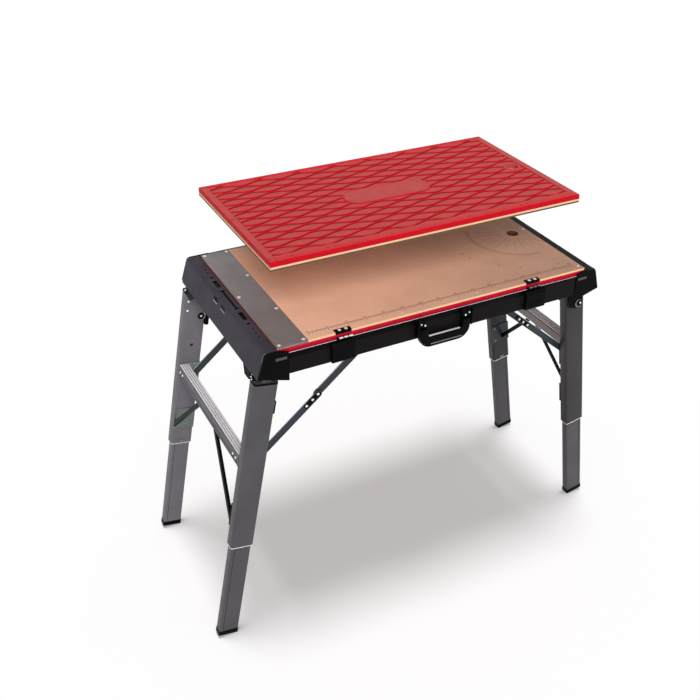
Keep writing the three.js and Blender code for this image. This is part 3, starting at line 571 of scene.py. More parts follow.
def fibreboard():
    """Pressed fibres: short pale and dark flecks over slow patches, with a paler cut edge over the red backing on the
    sides. Painted light and shade: the top is painted lighter to the left than to the right, and the worktop's
    left-facing sides, its finger hole and the lower part of the panel board's edge are painted dark.
    """
    s = Shader("fibreboard")
    face = tuple(colours().fibreboard)
    patches = s.ramp(s.noise(11, 5), (0.3, shade(face, 0.93)), (0.7, shade(face, 1.05)))
    flecks = s.ramp(s.noise(420, 4, (1, 2.2, 1)), (0.3, (0.84,) * 3), (0.52, (1.0,) * 3), (0.75, (1.1,) * 3))
    # Painted light: the top is painted lighter to the left and darker to the right, a painted falloff of the light
    # across the board.
    spot = s.node("ShaderNodeSeparateXYZ")
    s.link(s.coordinate, spot.inputs["Vector"])
    light_falloff = s.between(spot.outputs["X"], -0.4, 0.4, 0, 1)
    tone = s.mix(light_falloff, (1.18, 1.18, 1.18), (0.66, 0.66, 0.66))
    top = s.mix(1.0, s.mix(1.0, patches, flecks, "MULTIPLY"), tone, "MULTIPLY")
    edge = tuple(colours().board_edge)
    layers = s.ramp(s.noise(160, 3, (0.3, 0.3, 8)), (0.3, shade(edge, 0.88)), (0.7, shade(edge, 1.04)))
    normal = s.node("ShaderNodeSeparateXYZ")
    s.link(s.node("ShaderNodeNewGeometry").outputs["Normal"], normal.inputs["Vector"])
    upright = s.node("ShaderNodeMath", operation="ABSOLUTE")
    s.link(normal.outputs["Z"], upright.inputs[0])
    # Painted shade: the worktop board's sides that face left are painted a dark red-brown.
    left = s.between(normal.outputs["X"], -0.6, -0.5, 1, 0)
    low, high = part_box("worktop_board")
    worktop = s.inside(low - Vector((MM,) * 3), high + Vector((MM,) * 3))
    edges = s.mix(worktop, layers, s.mix(left, layers, srgb(84, 30, 34)))
    backing = s.inside(low - Vector((MM,) * 3), (high.x + MM, high.y + MM, low.z + 3.4 * MM))
    edges = s.mix(backing, edges, tuple(colours().strip))
    # Painted shade: the walls of the finger hole are painted near black.
    edges = s.mix(s.inside((0.35, -0.03, low.z - MM), (0.41, 0.03, high.z + MM)), edges, shade(face, 0.15))
    # Painted shade: the lower 4.4 mm of the panel board's edge is painted near black.
    low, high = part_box("panel_board")
    lower = s.inside(low - Vector((MM,) * 3), (high.x + MM, high.y + MM, low.z + 4.4 * MM))
    edges = s.mix(lower, edges, shade(edge, 0.14))
    s.colour(s.mix(s.between(upright.outputs["Value"], 0.45, 0.6, 0, 1), edges, top))
    s.roughness(s.between(s.noise(90, 4), 0.3, 0.7, 0.62, 0.8))
    s.bump(s.noise(700, 3), 0.15, 0.15)
    s.set(Specular_IOR_Level=0.25)
    return s.material


def red_rubber():
    """Moulded rubber: saturated ribs and edges, with the flat parts painted a dull pink as a painted sheen, told apart
    by the piece's own rib value, which is below 0 at the foot of a rib, where a dark red is painted as shade."""
    s = Shader("red_rubber")
    red, rose_sheen = tuple(colours().red), tuple(colours().rose_sheen)
    # Painted sheen: the flat parts are painted a paler pink than the ribs.
    sheen_flats = s.ramp(s.noise(40, 4), (0.3, shade(rose_sheen, 0.9)), (0.7, shade(rose_sheen, 1.08)))
    ribs = s.ramp(s.noise(55, 4), (0.3, shade(red, 0.85)), (0.7, shade(red, 1.1)))
    rib = s.node("ShaderNodeAttribute", attribute_name="flat").outputs["Fac"]
    # Painted shade: a rib value below 0 paints a dark red at the foot of each rib, darkest along its front side, and on
    # the mat's rims and sides.
    foot = s.between(rib, -1, 0, 1, 0)
    moulded = s.mix(foot, s.mix(s.between(rib, 0, 1, 0, 1), ribs, sheen_flats), shade(red, 0.16))
    low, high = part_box("worktop_mat")
    strip = s.inside(low - Vector((MM,) * 3), high + Vector((MM,) * 3))
    # Painted shade: the worktop mat's top seen through the finger hole is painted near black.
    hole_shade = s.inside((0.35, -0.03, high.z - 3 * MM), (0.41, 0.03, high.z + MM))
    s.colour(s.mix(hole_shade, s.mix(strip, moulded, tuple(colours().strip)), shade(red, 0.06)))
    s.roughness(s.between(s.noise(80, 4), 0.3, 0.7, 0.45, 0.62))
    s.bump(s.noise(900, 2), 0.12, 0.15)
    s.set(Specular_IOR_Level=0.12)
    return s.material


def plate_steel():
    """Rolled plate: long faint drawn lines along the plate, and slow cloudy patches."""
    s = Shader("plate_steel")
    colour = tuple(colours().plate)
    clouds = s.ramp(s.noise(14, 5), (0.3, shade(colour, 0.88)), (0.7, shade(colour, 1.12)))
    lines = s.ramp(s.noise(500, 3, (1, 0.03, 1)), (0.3, (0.92,) * 3), (0.7, (1.06,) * 3))
    s.colour(s.mix(1.0, clouds, lines, "MULTIPLY"))
    s.roughness(s.between(s.noise(300, 3, (1, 0.05, 1)), 0.3, 0.7, 0.42, 0.56))
    s.bump(s.noise(500, 3, (1, 0.03, 1)), 0.08, 0.1)
    s.set(Metallic=0.45)
    return s.material


def rung_aluminium():
    """Extruded aluminium: fine drawn lines along the rung."""
    s = Shader("rung_aluminium")
    colour = tuple(colours().rung)
    s.colour(s.ramp(s.noise(700, 3, (1, 0.02, 1)), (0.3, shade(colour, 0.86)), (0.7, shade(colour, 1.08))))
    s.roughness(s.between(s.noise(400, 3, (1, 0.03, 1)), 0.3, 0.7, 0.32, 0.45))
    s.bump(s.noise(700, 2, (1, 0.02, 1)), 0.08, 0.1)
    s.set(Metallic=0.2)
    return s.material


def zinc():
    """Zinc plating, also used for the bright bead on the corner castings and the lower line of the handle grip, which
    stand as painted highlights: patches of one tone each, a faint green tint and fine scratches.
    """
    s = Shader("zinc")
    colour = tuple(colours().zinc)
    grains = s.ramp(s.cells(180), (0.2, shade(colour, 0.86)), (0.8, shade(colour, 1.1)))
    haze = s.ramp(s.noise(60, 4), (0.3, (0.9, 0.94, 0.92)), (0.7, (1.05, 1.06, 1.05)))
    s.colour(s.mix(1.0, grains, haze, "MULTIPLY"))
    s.roughness(s.between(s.noise(220, 3), 0.3, 0.7, 0.28, 0.44))
    s.bump(s.noise(900, 2), 0.06, 0.1)
    s.set(Metallic=0.7)
    return s.material


def bright_steel():
    """Bright steel of the screw heads, also used for thin strips that stand as painted highlights: fine turned lines.
    """
    s = Shader("bright_steel")
    s.colour(s.ramp(s.noise(800, 3), (0.3, srgb(205, 205, 204)), (0.7, srgb(240, 240, 238))))
    s.roughness(s.between(s.noise(500, 3), 0.3, 0.7, 0.22, 0.34))
    s.bump(s.noise(900, 2), 0.05, 0.05)
    s.set(Metallic=0.35)
    return s.material


def printed_ink():
    """Print on fibreboard: brown ink, worn thin in flecks."""
    s = Shader("printed_ink")
    ink, board = tuple(colours().ink), tuple(colours().fibreboard)
    s.colour(s.ramp(s.noise(900, 3), (0.45, ink), (0.8, shade(board, 0.75))))
    s.roughness(s.between(s.noise(200, 3), 0.3, 0.7, 0.6, 0.8))
    s.set(Specular_IOR_Level=0.2)
    return s.material


MAKERS = {m.__name__: m for m in (black_powder_coat, violet_grey_coat, leg_grey, leg_painted_light, leg_painted_shade, rung_side, rung_face, brace_steel,
                                  black_plastic, fibreboard, red_rubber, plate_steel, rung_aluminium, zinc, bright_steel,
                                  printed_ink)}


def finish(name):
    """The material of a finish, made once."""
    if name not in FINISHES:
        FINISHES[name] = MAKERS[name]()
    return FINISHES[name]


class WORKBENCH_OT_worktop(bpy.types.Operator):
    """Worktop: board, red layer and steel plate with their screws"""
    bl_idname = "workbench.worktop"
    bl_label = "Worktop"

    def execute(self, context):
        softened("worktop_board", 0.8)
        softened("worktop_mat", 1.2)
        softened("steel_plate", 0.3)
        low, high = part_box("steel_plate")
        top = high.z
        fold = rounded_bar((low.x + MM, low.y - 0.9 * MM, top - 5 * MM), (high.x, low.y - 0.1 * MM, top - 0.4 * MM), 0.3 * MM, 0)
        piece("plate_fold", fold, "bench_frame", finish("plate_steel"))
        radius = sizes().screw_radius
        spots = [(-422, 238), (-422, 0), (-422, -238), (-362, 238), (-362, 94), (-362, -86), (-362, -237)]
        heads = [cross_screw((x * MM, y * MM, top), (0, 0, 1), radius, 1.1 * MM, 0.3 + 0.7 * i) for i, (x, y) in enumerate(spots)]
        piece("plate_screws", combine(*heads), "bench_frame", finish("bright_steel"), angle=50)
        spots = [(-105, -235), (108, -232), (421, -231), (423, 9)]
        heads = [cross_screw((x * MM, y * MM, top), (0, 0, 1), 0.75 * radius, 0.5 * MM, 0.9 * i) for i, (x, y) in enumerate(spots)]
        piece("board_screws", combine(*heads), "bench_frame", finish("bright_steel"), angle=50)
        return {"FINISHED"}


class WORKBENCH_OT_print(bpy.types.Operator):
    """Worktop print: scale along the front, angle lines round the finger hole, pilot marks"""
    bl_idname = "workbench.print"
    bl_label = "Worktop print"

    def execute(self, context):
        s = sizes()
        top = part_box("worktop_board")[1].z
        thin = 0.05 * MM
        count = int(750 * MM / s.tick_pitch) + 1
        x = -0.342 + s.tick_pitch * np.arange(count)
        length = np.where(np.arange(count) % 10 == 0, 12, np.where(np.arange(count) % 2 == 0, 8, 5)) * MM
        level = np.full(count, top + thin)
        ticks = slabs(np.stack([x, s.scale_line - length / 2, level], -1),
                      np.stack([np.full(count, 0.8 * MM), length / 2, np.full(count, thin)], -1))
        middle = (x[0] + x[-1]) / 2
        base = slabs([(middle, s.scale_line, top + thin)], [((x[-1] - x[0]) / 2, 0.4 * MM, thin)])
        hole = np.array([0.38, 0.0])
        angle = np.radians(np.arange(135, 301, 15))
        rays = np.stack([hole[0] + 70 * MM * np.cos(angle), hole[1] + 70 * MM * np.sin(angle), np.full(len(angle), top + thin)], -1)
        rays = slabs(rays, [(35 * MM, 0.4 * MM, thin)], angle)
        angle = np.radians(np.arange(150, 271, 1.5))
        reach = np.where(np.arange(len(angle)) % 10 == 0, 20, np.where(np.arange(len(angle)) % 2 == 0, 13, 8)) * MM
        mid = 120 * MM + reach / 2
        marks = np.stack([hole[0] + mid * np.cos(angle), hole[1] + mid * np.sin(angle), np.full(len(angle), top + thin)], -1)
        marks = slabs(marks, np.stack([reach / 2, np.full(len(angle), 0.4 * MM), np.full(len(angle), thin)], -1), angle)
        piece("worktop_print", combine(ticks, base, rays, marks), "bench_frame", finish("printed_ink"))
        spots = [(183, 63), (188, -43), (194, -72), (240, -137), (283, -170), (385, -195)]
        cup = [(0, 0.02 * MM), (1.6 * MM, 0.05 * MM), (2.1 * MM, 0.16 * MM), (2.5 * MM, 0.02 * MM), (2.5 * MM, -0.2 * MM), (0, -0.2 * MM)]
        cups = [turned(cup, (px * MM, py * MM, top), (0, 0, 1), 16) for px, py in spots]
        piece("pilot_marks", combine(*cups), "bench_frame", finish("printed_ink"))
        for i in range(0, count, 10):
            self.numeral(str(int(round(i * s.tick_pitch / MM / 10))), x[i], s.scale_line + 1.5 * MM, top, s.numeral)
        return {"FINISHED"}

    def numeral(self, text, x, y, z, height):
        """A number as a thin mesh that lies on the worktop."""
        curve = bpy.data.curves.new("numeral_" + text, "FONT")
        curve.body, curve.size, curve.align_x, curve.extrude = text, height, "CENTER", 0.05 * MM
        curve.resolution_u = 3
        holder = bpy.data.objects.new("numeral_curve", curve)
        bpy.context.scene.collection.objects.link(holder)
        bpy.context.view_layer.update()
        mesh = bpy.data.meshes.new_from_object(holder.evaluated_get(bpy.context.evaluated_depsgraph_get()))
        bpy.data.objects.remove(holder)
        mesh.transform(Matrix.Translation((x, y, z + 0.05 * MM)))
        place(mesh, "numeral_" + text, "bench_frame", finish("printed_ink"))


class WORKBENCH_OT_frame(bpy.types.Operator):
    """Rails, end beams and corner castings"""
    bl_idname = "workbench.frame"
    bl_label = "Rails, beams and corners"

    def execute(self, context):
        for side in SIDES:
            softened(f"rail_{side}", 1.4)
            self.rail_shadow_and_highlight(side)
        softened("end_beam_left", 0.8)
        softened("end_beam_right", 0.8)
        for side, end in LEGS:
            softened(f"corner_{side}_{end}", 2.2, segments=4)
            softened(f"pivot_pin_{side}_{end}", 0.9)
            if end == "right":
                self.pin_cap(side, end)
            self.recess_highlight(side, end)
            self.bead_highlight(side, end)
        self.hook_backs()
        return {"FINISHED"}

    def rail_shadow_and_highlight(self, side):
        """Painted light along a rail's top edge: a black bar as a painted shadow and a fine bright line along it as a
        painted highlight. The front one stands up over the red layer.
        """
        low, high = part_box(f"rail_{side}")
        sy = SIDES[side]
        face = low.y if sy < 0 else high.y
        rise = high.z + (5.4 * MM if sy < 0 else -1.0 * MM)
        # The line is a painted highlight and the shadow bar a painted shadow.
        for name, drop, depth, look in (("line", (0, 0.9), 0.9, "bright_steel"), ("shadow", (1.2, 16), 4.3 if sy < 0 else 0.4, "black_plastic")):
            near = sorted((face + sy * 0.2 * MM, face - sy * depth * MM))
            shell = rounded_bar((low.x + 0.5 * MM, near[0], rise - drop[1] * MM), (high.x - 0.5 * MM, near[1], rise - drop[0] * MM),
                                0.3 * MM, 0)
            piece(f"rail_{name}_{side}", shell, "bench_frame", finish(look))

    def pin_cap(self, side, end):
        """Head of a pivot pin: a black disc set off centre on the bright head, with a small domed bolt."""
        sy = SIDES[side]
        low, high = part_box(f"pivot_pin_{side}_{end}")
        face = low.y if sy < 0 else high.y
        x, z = (low.x + high.x) / 2, (low.z + high.z) / 2
        disc = np.array([(0, -0.2), (9.8, -0.2), (9.8, 0.4), (9.2, 0.8), (0, 0.8)]) * MM
        shell = turned(disc, (x + 1.4 * MM, face, z + 1.2 * MM), (0, sy, 0), 32)
        piece(f"pin_cap_{side}_{end}", shell, "bench_frame", finish("black_plastic"))
        shell = turned(dome(3.2 * MM, 1.6 * MM, 0.4 * MM), (x + 3 * MM, face + sy * 0.8 * MM, z + 2 * MM), (0, sy, 0), 16)
        piece(f"pin_bolt_{side}_{end}", shell, "bench_frame", finish("bright_steel"), angle=50)

    def recess_highlight(self, side, end):
        """A grey rounded bar in the long recess of a corner casting, as a painted highlight in the recess."""
        sx, sy = ENDS[end], SIDES[side]
        low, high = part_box(f"corner_{side}_{end}")
        face = low.y if sy < 0 else high.y
        drop = (845 if sy < 0 else 852) * MM
        ends = sorted((sx * 0.409, sx * 0.437))
        near = sorted((face - sy * 1.6 * MM, face - sy * 0.3 * MM))
        shell = rounded_bar((ends[0], near[0], drop - 17.6 * MM), (ends[1], near[1], drop - 10.4 * MM), 0.6 * MM, 0)
        piece(f"corner_recess_glint_{side}_{end}", shell, "bench_frame", finish("leg_grey"))

    def bead_highlight(self, side, end):
        """A fine bright bead where a corner casting meets the rounded edge of the beam, as a painted highlight: a
        circle carried along an arc that runs on straight down the face."""
        sx, sy = ENDS[end], SIDES[side]
        low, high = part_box(f"end_beam_{end}")
        face = low.y if sy < 0 else high.y
        turn = np.linspace(np.pi / 2 - 0.25, math.radians(17), 9)
        bend, radius = (431 + 24, 852 - 10), 10.2
        arc = np.stack([bend[0] + radius * np.cos(turn), bend[1] + radius * np.sin(turn)], -1)
        tail = arc[-1] + np.array([[math.sin(math.radians(17)), -math.cos(math.radians(17))]]) * 16
        line = np.vstack([arc, tail]) * MM
        path = np.column_stack([sx * line[:, 0], np.full(len(line), face), line[:, 1]])
        along = np.gradient(path, axis=0)
        along /= np.linalg.norm(along, axis=1)[:, None]
        a = np.linspace(0, 2 * np.pi, 8, endpoint=False)
        circle = 0.7 * MM * np.stack([np.cos(a), np.sin(a)], -1)
        y_axis = np.array([0.0, 1.0, 0.0])
        shell = swept(circle, path, np.cross(y_axis, along), y_axis)
        piece(f"corner_edge_glint_{side}_{end}", shell, "bench_frame", finish("zinc"))

    def hook_backs(self):
        """A dark plate behind the two openings of the left beam, as painted shade inside them, and a bright strip on
        each lower lip as a painted highlight.
        """
        shell = rounded_bar((-0.4525, -0.08, 0.806), (-0.4495, 0.12, 0.8475), 0.5 * MM, 1)
        piece("hook_back", shell, "bench_frame", finish("black_plastic"))
        lips = [rounded_bar((-0.4682, (y - 12.6) * MM, 0.8344), (-0.4671, (y + 12.6) * MM, 0.8353), 0.3 * MM, 1) for y in (-4, 44)]
        piece("hook_lip_glints", combine(*lips), "bench_frame", finish("bright_steel"))


class WORKBENCH_OT_legs(bpy.types.Operator):
    """Legs: outer and inner tubes, sleeve collars, caps, feet and height locks"""
    bl_idname = "workbench.legs"
    bl_label = "Legs"

    def execute(self, context):
        for side, end in LEGS:
            leg = LegFrame(end)
            # Painted light and shade: the back left tubes take the leg grey painted lighter, the right outer tubes take
            # it painted darker.
            tubes = {"front_left": ("leg_grey", "leg_grey"), "back_left": ("leg_painted_light", "leg_painted_light")}
            outer, inner = tubes.get(f"{side}_{end}", ("leg_painted_shade", "leg_grey"))
            softened(f"leg_outer_{side}_{end}", 0.5, finish(outer))
            softened(f"leg_inner_{side}_{end}", 0.5, finish(inner))
            softened(f"foot_{side}_{end}", 1.6)
            softened(f"lock_button_{side}_{end}", 0.5)
            near, far, drop = leg.sleeve(side)
            lip = [(-1.2, -0.8), (0.4, -0.6), (0.5, 0.2), (0.4, 1.0), (-0.1, 1.3), (-1.2, 1.2)]
            self.band(f"sleeve_lip_{side}_{end}", leg, near, far, drop, lip, "bright_steel")
            self.groove_shading(leg, side, end, near, far, drop)
            if end == "left":
                self.top(leg, side, near, far)
        return {"FINISHED"}

    def band(self, name, leg, near, far, drop, profile, look):
        """A closed profile of (outwards, up) carried round the leg tube at one height."""
        loop, out = rounded_box_loop(LEG_WIDTH, abs(far - near), 6)
        points = leg.at(loop[:, 0], loop[:, 1] + (near + far) / 2, drop)
        outward = leg.at(out[:, 0], out[:, 1], 0) - leg.at(0, 0, 0)
        outward /= np.linalg.norm(outward, axis=1)[:, None]
        shell = ring(np.array(profile) * MM, points, outward, np.broadcast_to(-leg.down, points.shape))
        piece(name, shell, f"{leg.end}_legs", finish(look))

    def groove_shading(self, leg, side, end, near, far, drop):
        """Dark strips down both faces of the inner tube, as painted shade of its groove lines: a thin strip carried
        down the leg.
        """
        low = np.array(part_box(f"leg_inner_{side}_{end}")[0]) / MM
        foot = (leg.pivot[2] / MM - low[2]) / abs(leg.down[2]) - 8
        sy = np.sign(near)
        shells = []
        for face, way in ((near + sy * 4.0, -sy), (far - sy * 4.0, sy)):
            path = leg.at(-17.0, face, np.array([drop + 1.0, foot]))
            shells.append(swept(np.array([(-0.7, -0.3), (0.7, -0.3), (0.5, 0.12), (-0.5, 0.12)]) * MM, path,
                                leg.inward, np.array([0.0, way, 0.0])))
        piece(f"tube_groove_shade_{side}_{end}", combine(*shells), f"inner_leg_{side}_{end}", finish("black_plastic"))

    def top(self, leg, side, near, far):
        """Head of a left leg: a black cap with a steel cover, an outer hinge block, an inner lug and bolts, and a black
        washer with a bright arc on its rim as a painted highlight.
        """
        sy = np.sign(near)
        body = "left_legs"
        skirt = [(-2.0, -3.2), (0.2, -3.2), (0.35, -2.6), (0.35, 1.4), (0.1, 1.9), (-2.0, 1.9)]
        self.band(f"leg_cap_{side}_left", leg, near, far, 21.5, skirt, "black_plastic")
        loop, _ = rounded_box_loop(LEG_WIDTH - 2.0, abs(far - near) - 2.0, 5)
        loop = loop + (0, (near + far) / 2)
        shell = swept(loop * MM, leg.at(0, 0, np.array([21.8, 18.9])), leg.inward, (0, 1, 0))
        piece(f"leg_cover_{side}_left", shell, body, finish("leg_grey"))
        block, _ = rounded_box_loop(16.0, 12.0, 2.0)
        path = leg.at(-21.5, 0, np.array([20.5, 10.0])) + np.array([0, (near + sy * 9) * MM, 0])
        shell = swept(block * MM, path, leg.inward, (0, 1, 0))
        piece(f"hinge_block_{side}_left", shell, body, finish("black_plastic"))
        lug, _ = rounded_box_loop(11.0, 20.0, 3.0)
        path = leg.at(35.2, 0, np.array([84.0, 116.0])) + np.array([0, (near + sy * 6) * MM, 0])
        shell = swept(lug * MM, path, leg.inward, (0, 1, 0))
        piece(f"leg_lug_{side}_left", shell, body, finish("black_plastic"))
        inner = np.array([0.0, -sy, 0.0])
        heads = [turned(dome(3.2 * MM, 1.6 * MM, 0.6 * MM), leg.at(a, near, d), inner, 16)
                 for a, d in ((-21, 45), (-21, 72), (18.6, 90))]
        washer = np.array([(3.4, -0.2), (9.8, -0.2), (9.8, 0.5), (9.4, 0.8), (3.4, 0.8), (3.4, -0.2)])
        shell = turned(washer * MM, leg.at(18.6, near, 90), inner, 32)
        piece(f"leg_washer_{side}_left", shell, body, finish("black_plastic"))
        # Painted highlight: a bright arc on the rim of the black washer.
        t = np.linspace(-0.9, 0.9, 11)
        radial = np.cos(t)[:, None] * leg.inward + np.sin(t)[:, None] * leg.down
        path = leg.at(18.6 + 10.6 * np.cos(t), near, 90 + 10.6 * np.sin(t))
        heads.append(swept(np.array([(-0.8, -0.2), (0.8, -0.2), (0.6, 0.9), (-0.6, 0.9)]) * MM, path, radial, inner))
        outward = -leg.inward
        heads += [turned(dome(2.2 * MM, 1.2 * MM, 0.4 * MM), leg.at(-29.3, near + sy * k, d), outward, 14)
                  for k, d in ((6, 13), (11, 17))]
        piece(f"leg_bolts_and_glint_{side}_left", combine(*heads), body, finish("bright_steel"), angle=50)


class WORKBENCH_OT_rungs(bpy.types.Operator):
    """Rungs: an extruded body and a ribbed tread, carried from leg to leg"""
    bl_idname = "workbench.rungs"
    bl_label = "Rungs"

    def execute(self, context):
        for end in ENDS:
            leg = LegFrame(end)
            low, high = (np.array(v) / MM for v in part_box(f"rung_{end}"))
            across = -(LEG_WIDTH / 2 - 13.5 - 0.5)
            path = leg.at(across, np.array([low[1], high[1]]), RUNG_AT[end])
            shell = swept(self.body() * MM, path, leg.inward, -leg.down)
            # The right rung's body is coated black, which paints the shade of its lower face.
            look = finish("rung_side") if end == "left" else finish("black_powder_coat")
            piece(f"rung_{end}_body", shell, f"{end}_legs", look, [f"rung_{end}"])
            ribs = [swept(rib * MM, path, leg.inward, -leg.down) for rib in self.tread(end)]
            piece(f"rung_{end}_tread", combine(*ribs), f"{end}_legs", finish("rung_aluminium"))
            # Painted shade: a black sheet under the tread, seen in the grooves between the ribs.
            floor = np.array([(-13.2, 13.2), (13.2, 13.2), (13.2, 14.0), (-13.2, 14.0)])
            piece(f"rung_{end}_floor", swept(floor * MM, path, leg.inward, -leg.down), f"{end}_legs", finish("black_plastic"))
            if end == "right":
                face = np.array([(13.3, -13.5), (14.3, -13.3), (14.3, 13.0), (13.3, 13.2)])
                # Painted highlight: the bright strip along the lower edge of the right rung's face.
                lip = np.array([(13.3, -15.6), (14.6, -15.2), (14.6, -13.6), (13.3, -13.6)])
                for name, section, look in (("face", face, "rung_face"), ("lip", lip, "bright_steel")):
                    shell = swept(section * MM, path, leg.inward, -leg.down)
                    piece(f"rung_{end}_{name}", shell, f"{end}_legs", finish(look))
            heads = [turned(dome(3.4 * MM, 1.8 * MM, 0.5 * MM), leg.at(across - 13.4, y + k, RUNG_AT[end] + 1), -leg.inward, 16)
                     for y, k in ((low[1], 12), (low[1], 30), (high[1], -12), (high[1], -30))]
            piece(f"rung_bolts_{end}", combine(*heads), f"{end}_legs", finish("bright_steel"), angle=50)
        return {"FINISHED"}

    def body(self):
        """Section of the rung below its tread: a box with round lower corners and a shallow flute down each side."""
        t = np.linspace(0, -np.pi / 2, 6)
        corner = 2.5 * np.stack([np.cos(t), np.sin(t)], -1) + (11.0, -14.0)
        side = np.array([(13.5, 13.4), (13.5, 5), (12.5, 3.5), (12.5, -8), (13.5, -9.5)])
        half = np.vstack([side, corner])
        return np.vstack([half, half[::-1] * (-1, 1)])

    def tread(self, end):
        """Sections of the tread's ribs: bars with round shoulders, side by side, with a groove between neighbours where
        the black sheet under them shows as painted shade.
        """
        count = sizes().rung_ribs if end == "left" else sizes().fine_ribs
        pitch = 26.6 / count
        half = 0.37 * pitch if end == "left" else 0.26 * pitch
        t = np.linspace(0, np.pi, 7)
        crown = np.stack([half * np.cos(t), 15.6 + 0.9 * np.sin(t)], -1)
        rib = np.vstack([[(half, 13.0)], crown, [(-half, 13.0)]])
        return [rib + (c, 0) for c in (np.arange(count) - (count - 1) / 2) * pitch]


class WORKBENCH_OT_plates(bpy.types.Operator):
    """Gussets and knee stays, with their bolts"""
    bl_idname = "workbench.plates"
    bl_label = "Gussets and stays"

    def execute(self, context):
        for side, end in LEGS:
            leg = LegFrame(end)
            near, far, drop = leg.sleeve(side)
            sy = np.sign(near)
            inner = np.array([0.0, -sy, 0.0])
            look = finish("zinc" if end == "left" else "brace_steel")
            softened(f"gusset_{side}_{end}", 0.5, look)
            softened(f"stay_{side}_{end}", 0.8, finish("black_plastic"))
            rung = RUNG_AT[end]
            face = near - sy * 2.3
            heads = [hexagon(leg.at(a, face, rung + d), inner, 7 * MM, 3 * MM) for a, d in ((-14, 25), (-5, 38), (24, -12))]
            low = np.array(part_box(f"stay_{side}_{end}")[0]) / MM
            foot = (leg.pivot[2] / MM - low[2]) / abs(leg.down[2]) - (LEG_WIDTH / 2 - 0.5) * abs(leg.down[0] / leg.down[2])
            heads += [turned(dome(3.5 * MM, 0.03 * MM, 0.03 * MM), leg.at(21, near - sy * 2.5, foot - d), inner, 16) for d in (10, 56)]
            piece(f"plate_bolts_{side}_{end}", combine(*heads), f"{end}_legs", finish("zinc"), angle=25)
            plate, _ = rounded_box_loop(LEG_WIDTH - 0.8, 66.2, 1.0)
            path = leg.at(0, np.array([near - sy * 0.2, near - sy * 2.5]), foot - 33)
            look = look if side == "back" else finish("black_plastic")
            piece(f"stay_plate_{side}_{end}", swept(plate * MM, path, leg.inward, leg.down), f"{end}_legs", look)
            if side == "back":
                self.edge(leg, side, end, near, foot)
        return {"FINISHED"}

    def edge(self, leg, side, end, near, foot):
        """A bright strip along the upper side of a stay, as a painted highlight: a thin strip carried from the rung to
        the leg.
        """
        sy = np.sign(near)
        rise = 170.0 if end == "left" else 164.0
        width = 8.0 if end == "left" else 5.5
        outer = 29.5 if end == "left" else 29.5 - 27 + 5.5
        slant = math.hypot(160, rise)
        top = RUNG_AT[end] + 16.8
        y = np.array([abs(near) - 0.3 - 160 + 12 * slant / rise + 1.5, abs(near) - 3.0])
        d = top + rise * (y - (abs(near) - 0.3 - 160 + 12 * slant / rise)) / 160
        path = leg.at(-(outer - width / 2), sy * y, d)
        up = path[0] * 0 + np.cross(leg.inward, (path[1] - path[0]) / np.linalg.norm(path[1] - path[0]))
        if np.dot(up, leg.down) > 0:
            up = -up
        strip = np.array([(-1.0, -0.4), (1.0, -0.4), (0.7, 0.5), (-0.7, 0.5)]) * MM
        piece(f"stay_glint_{side}_{end}", swept(strip, path, leg.inward, up), f"{end}_legs", finish("bright_steel"))


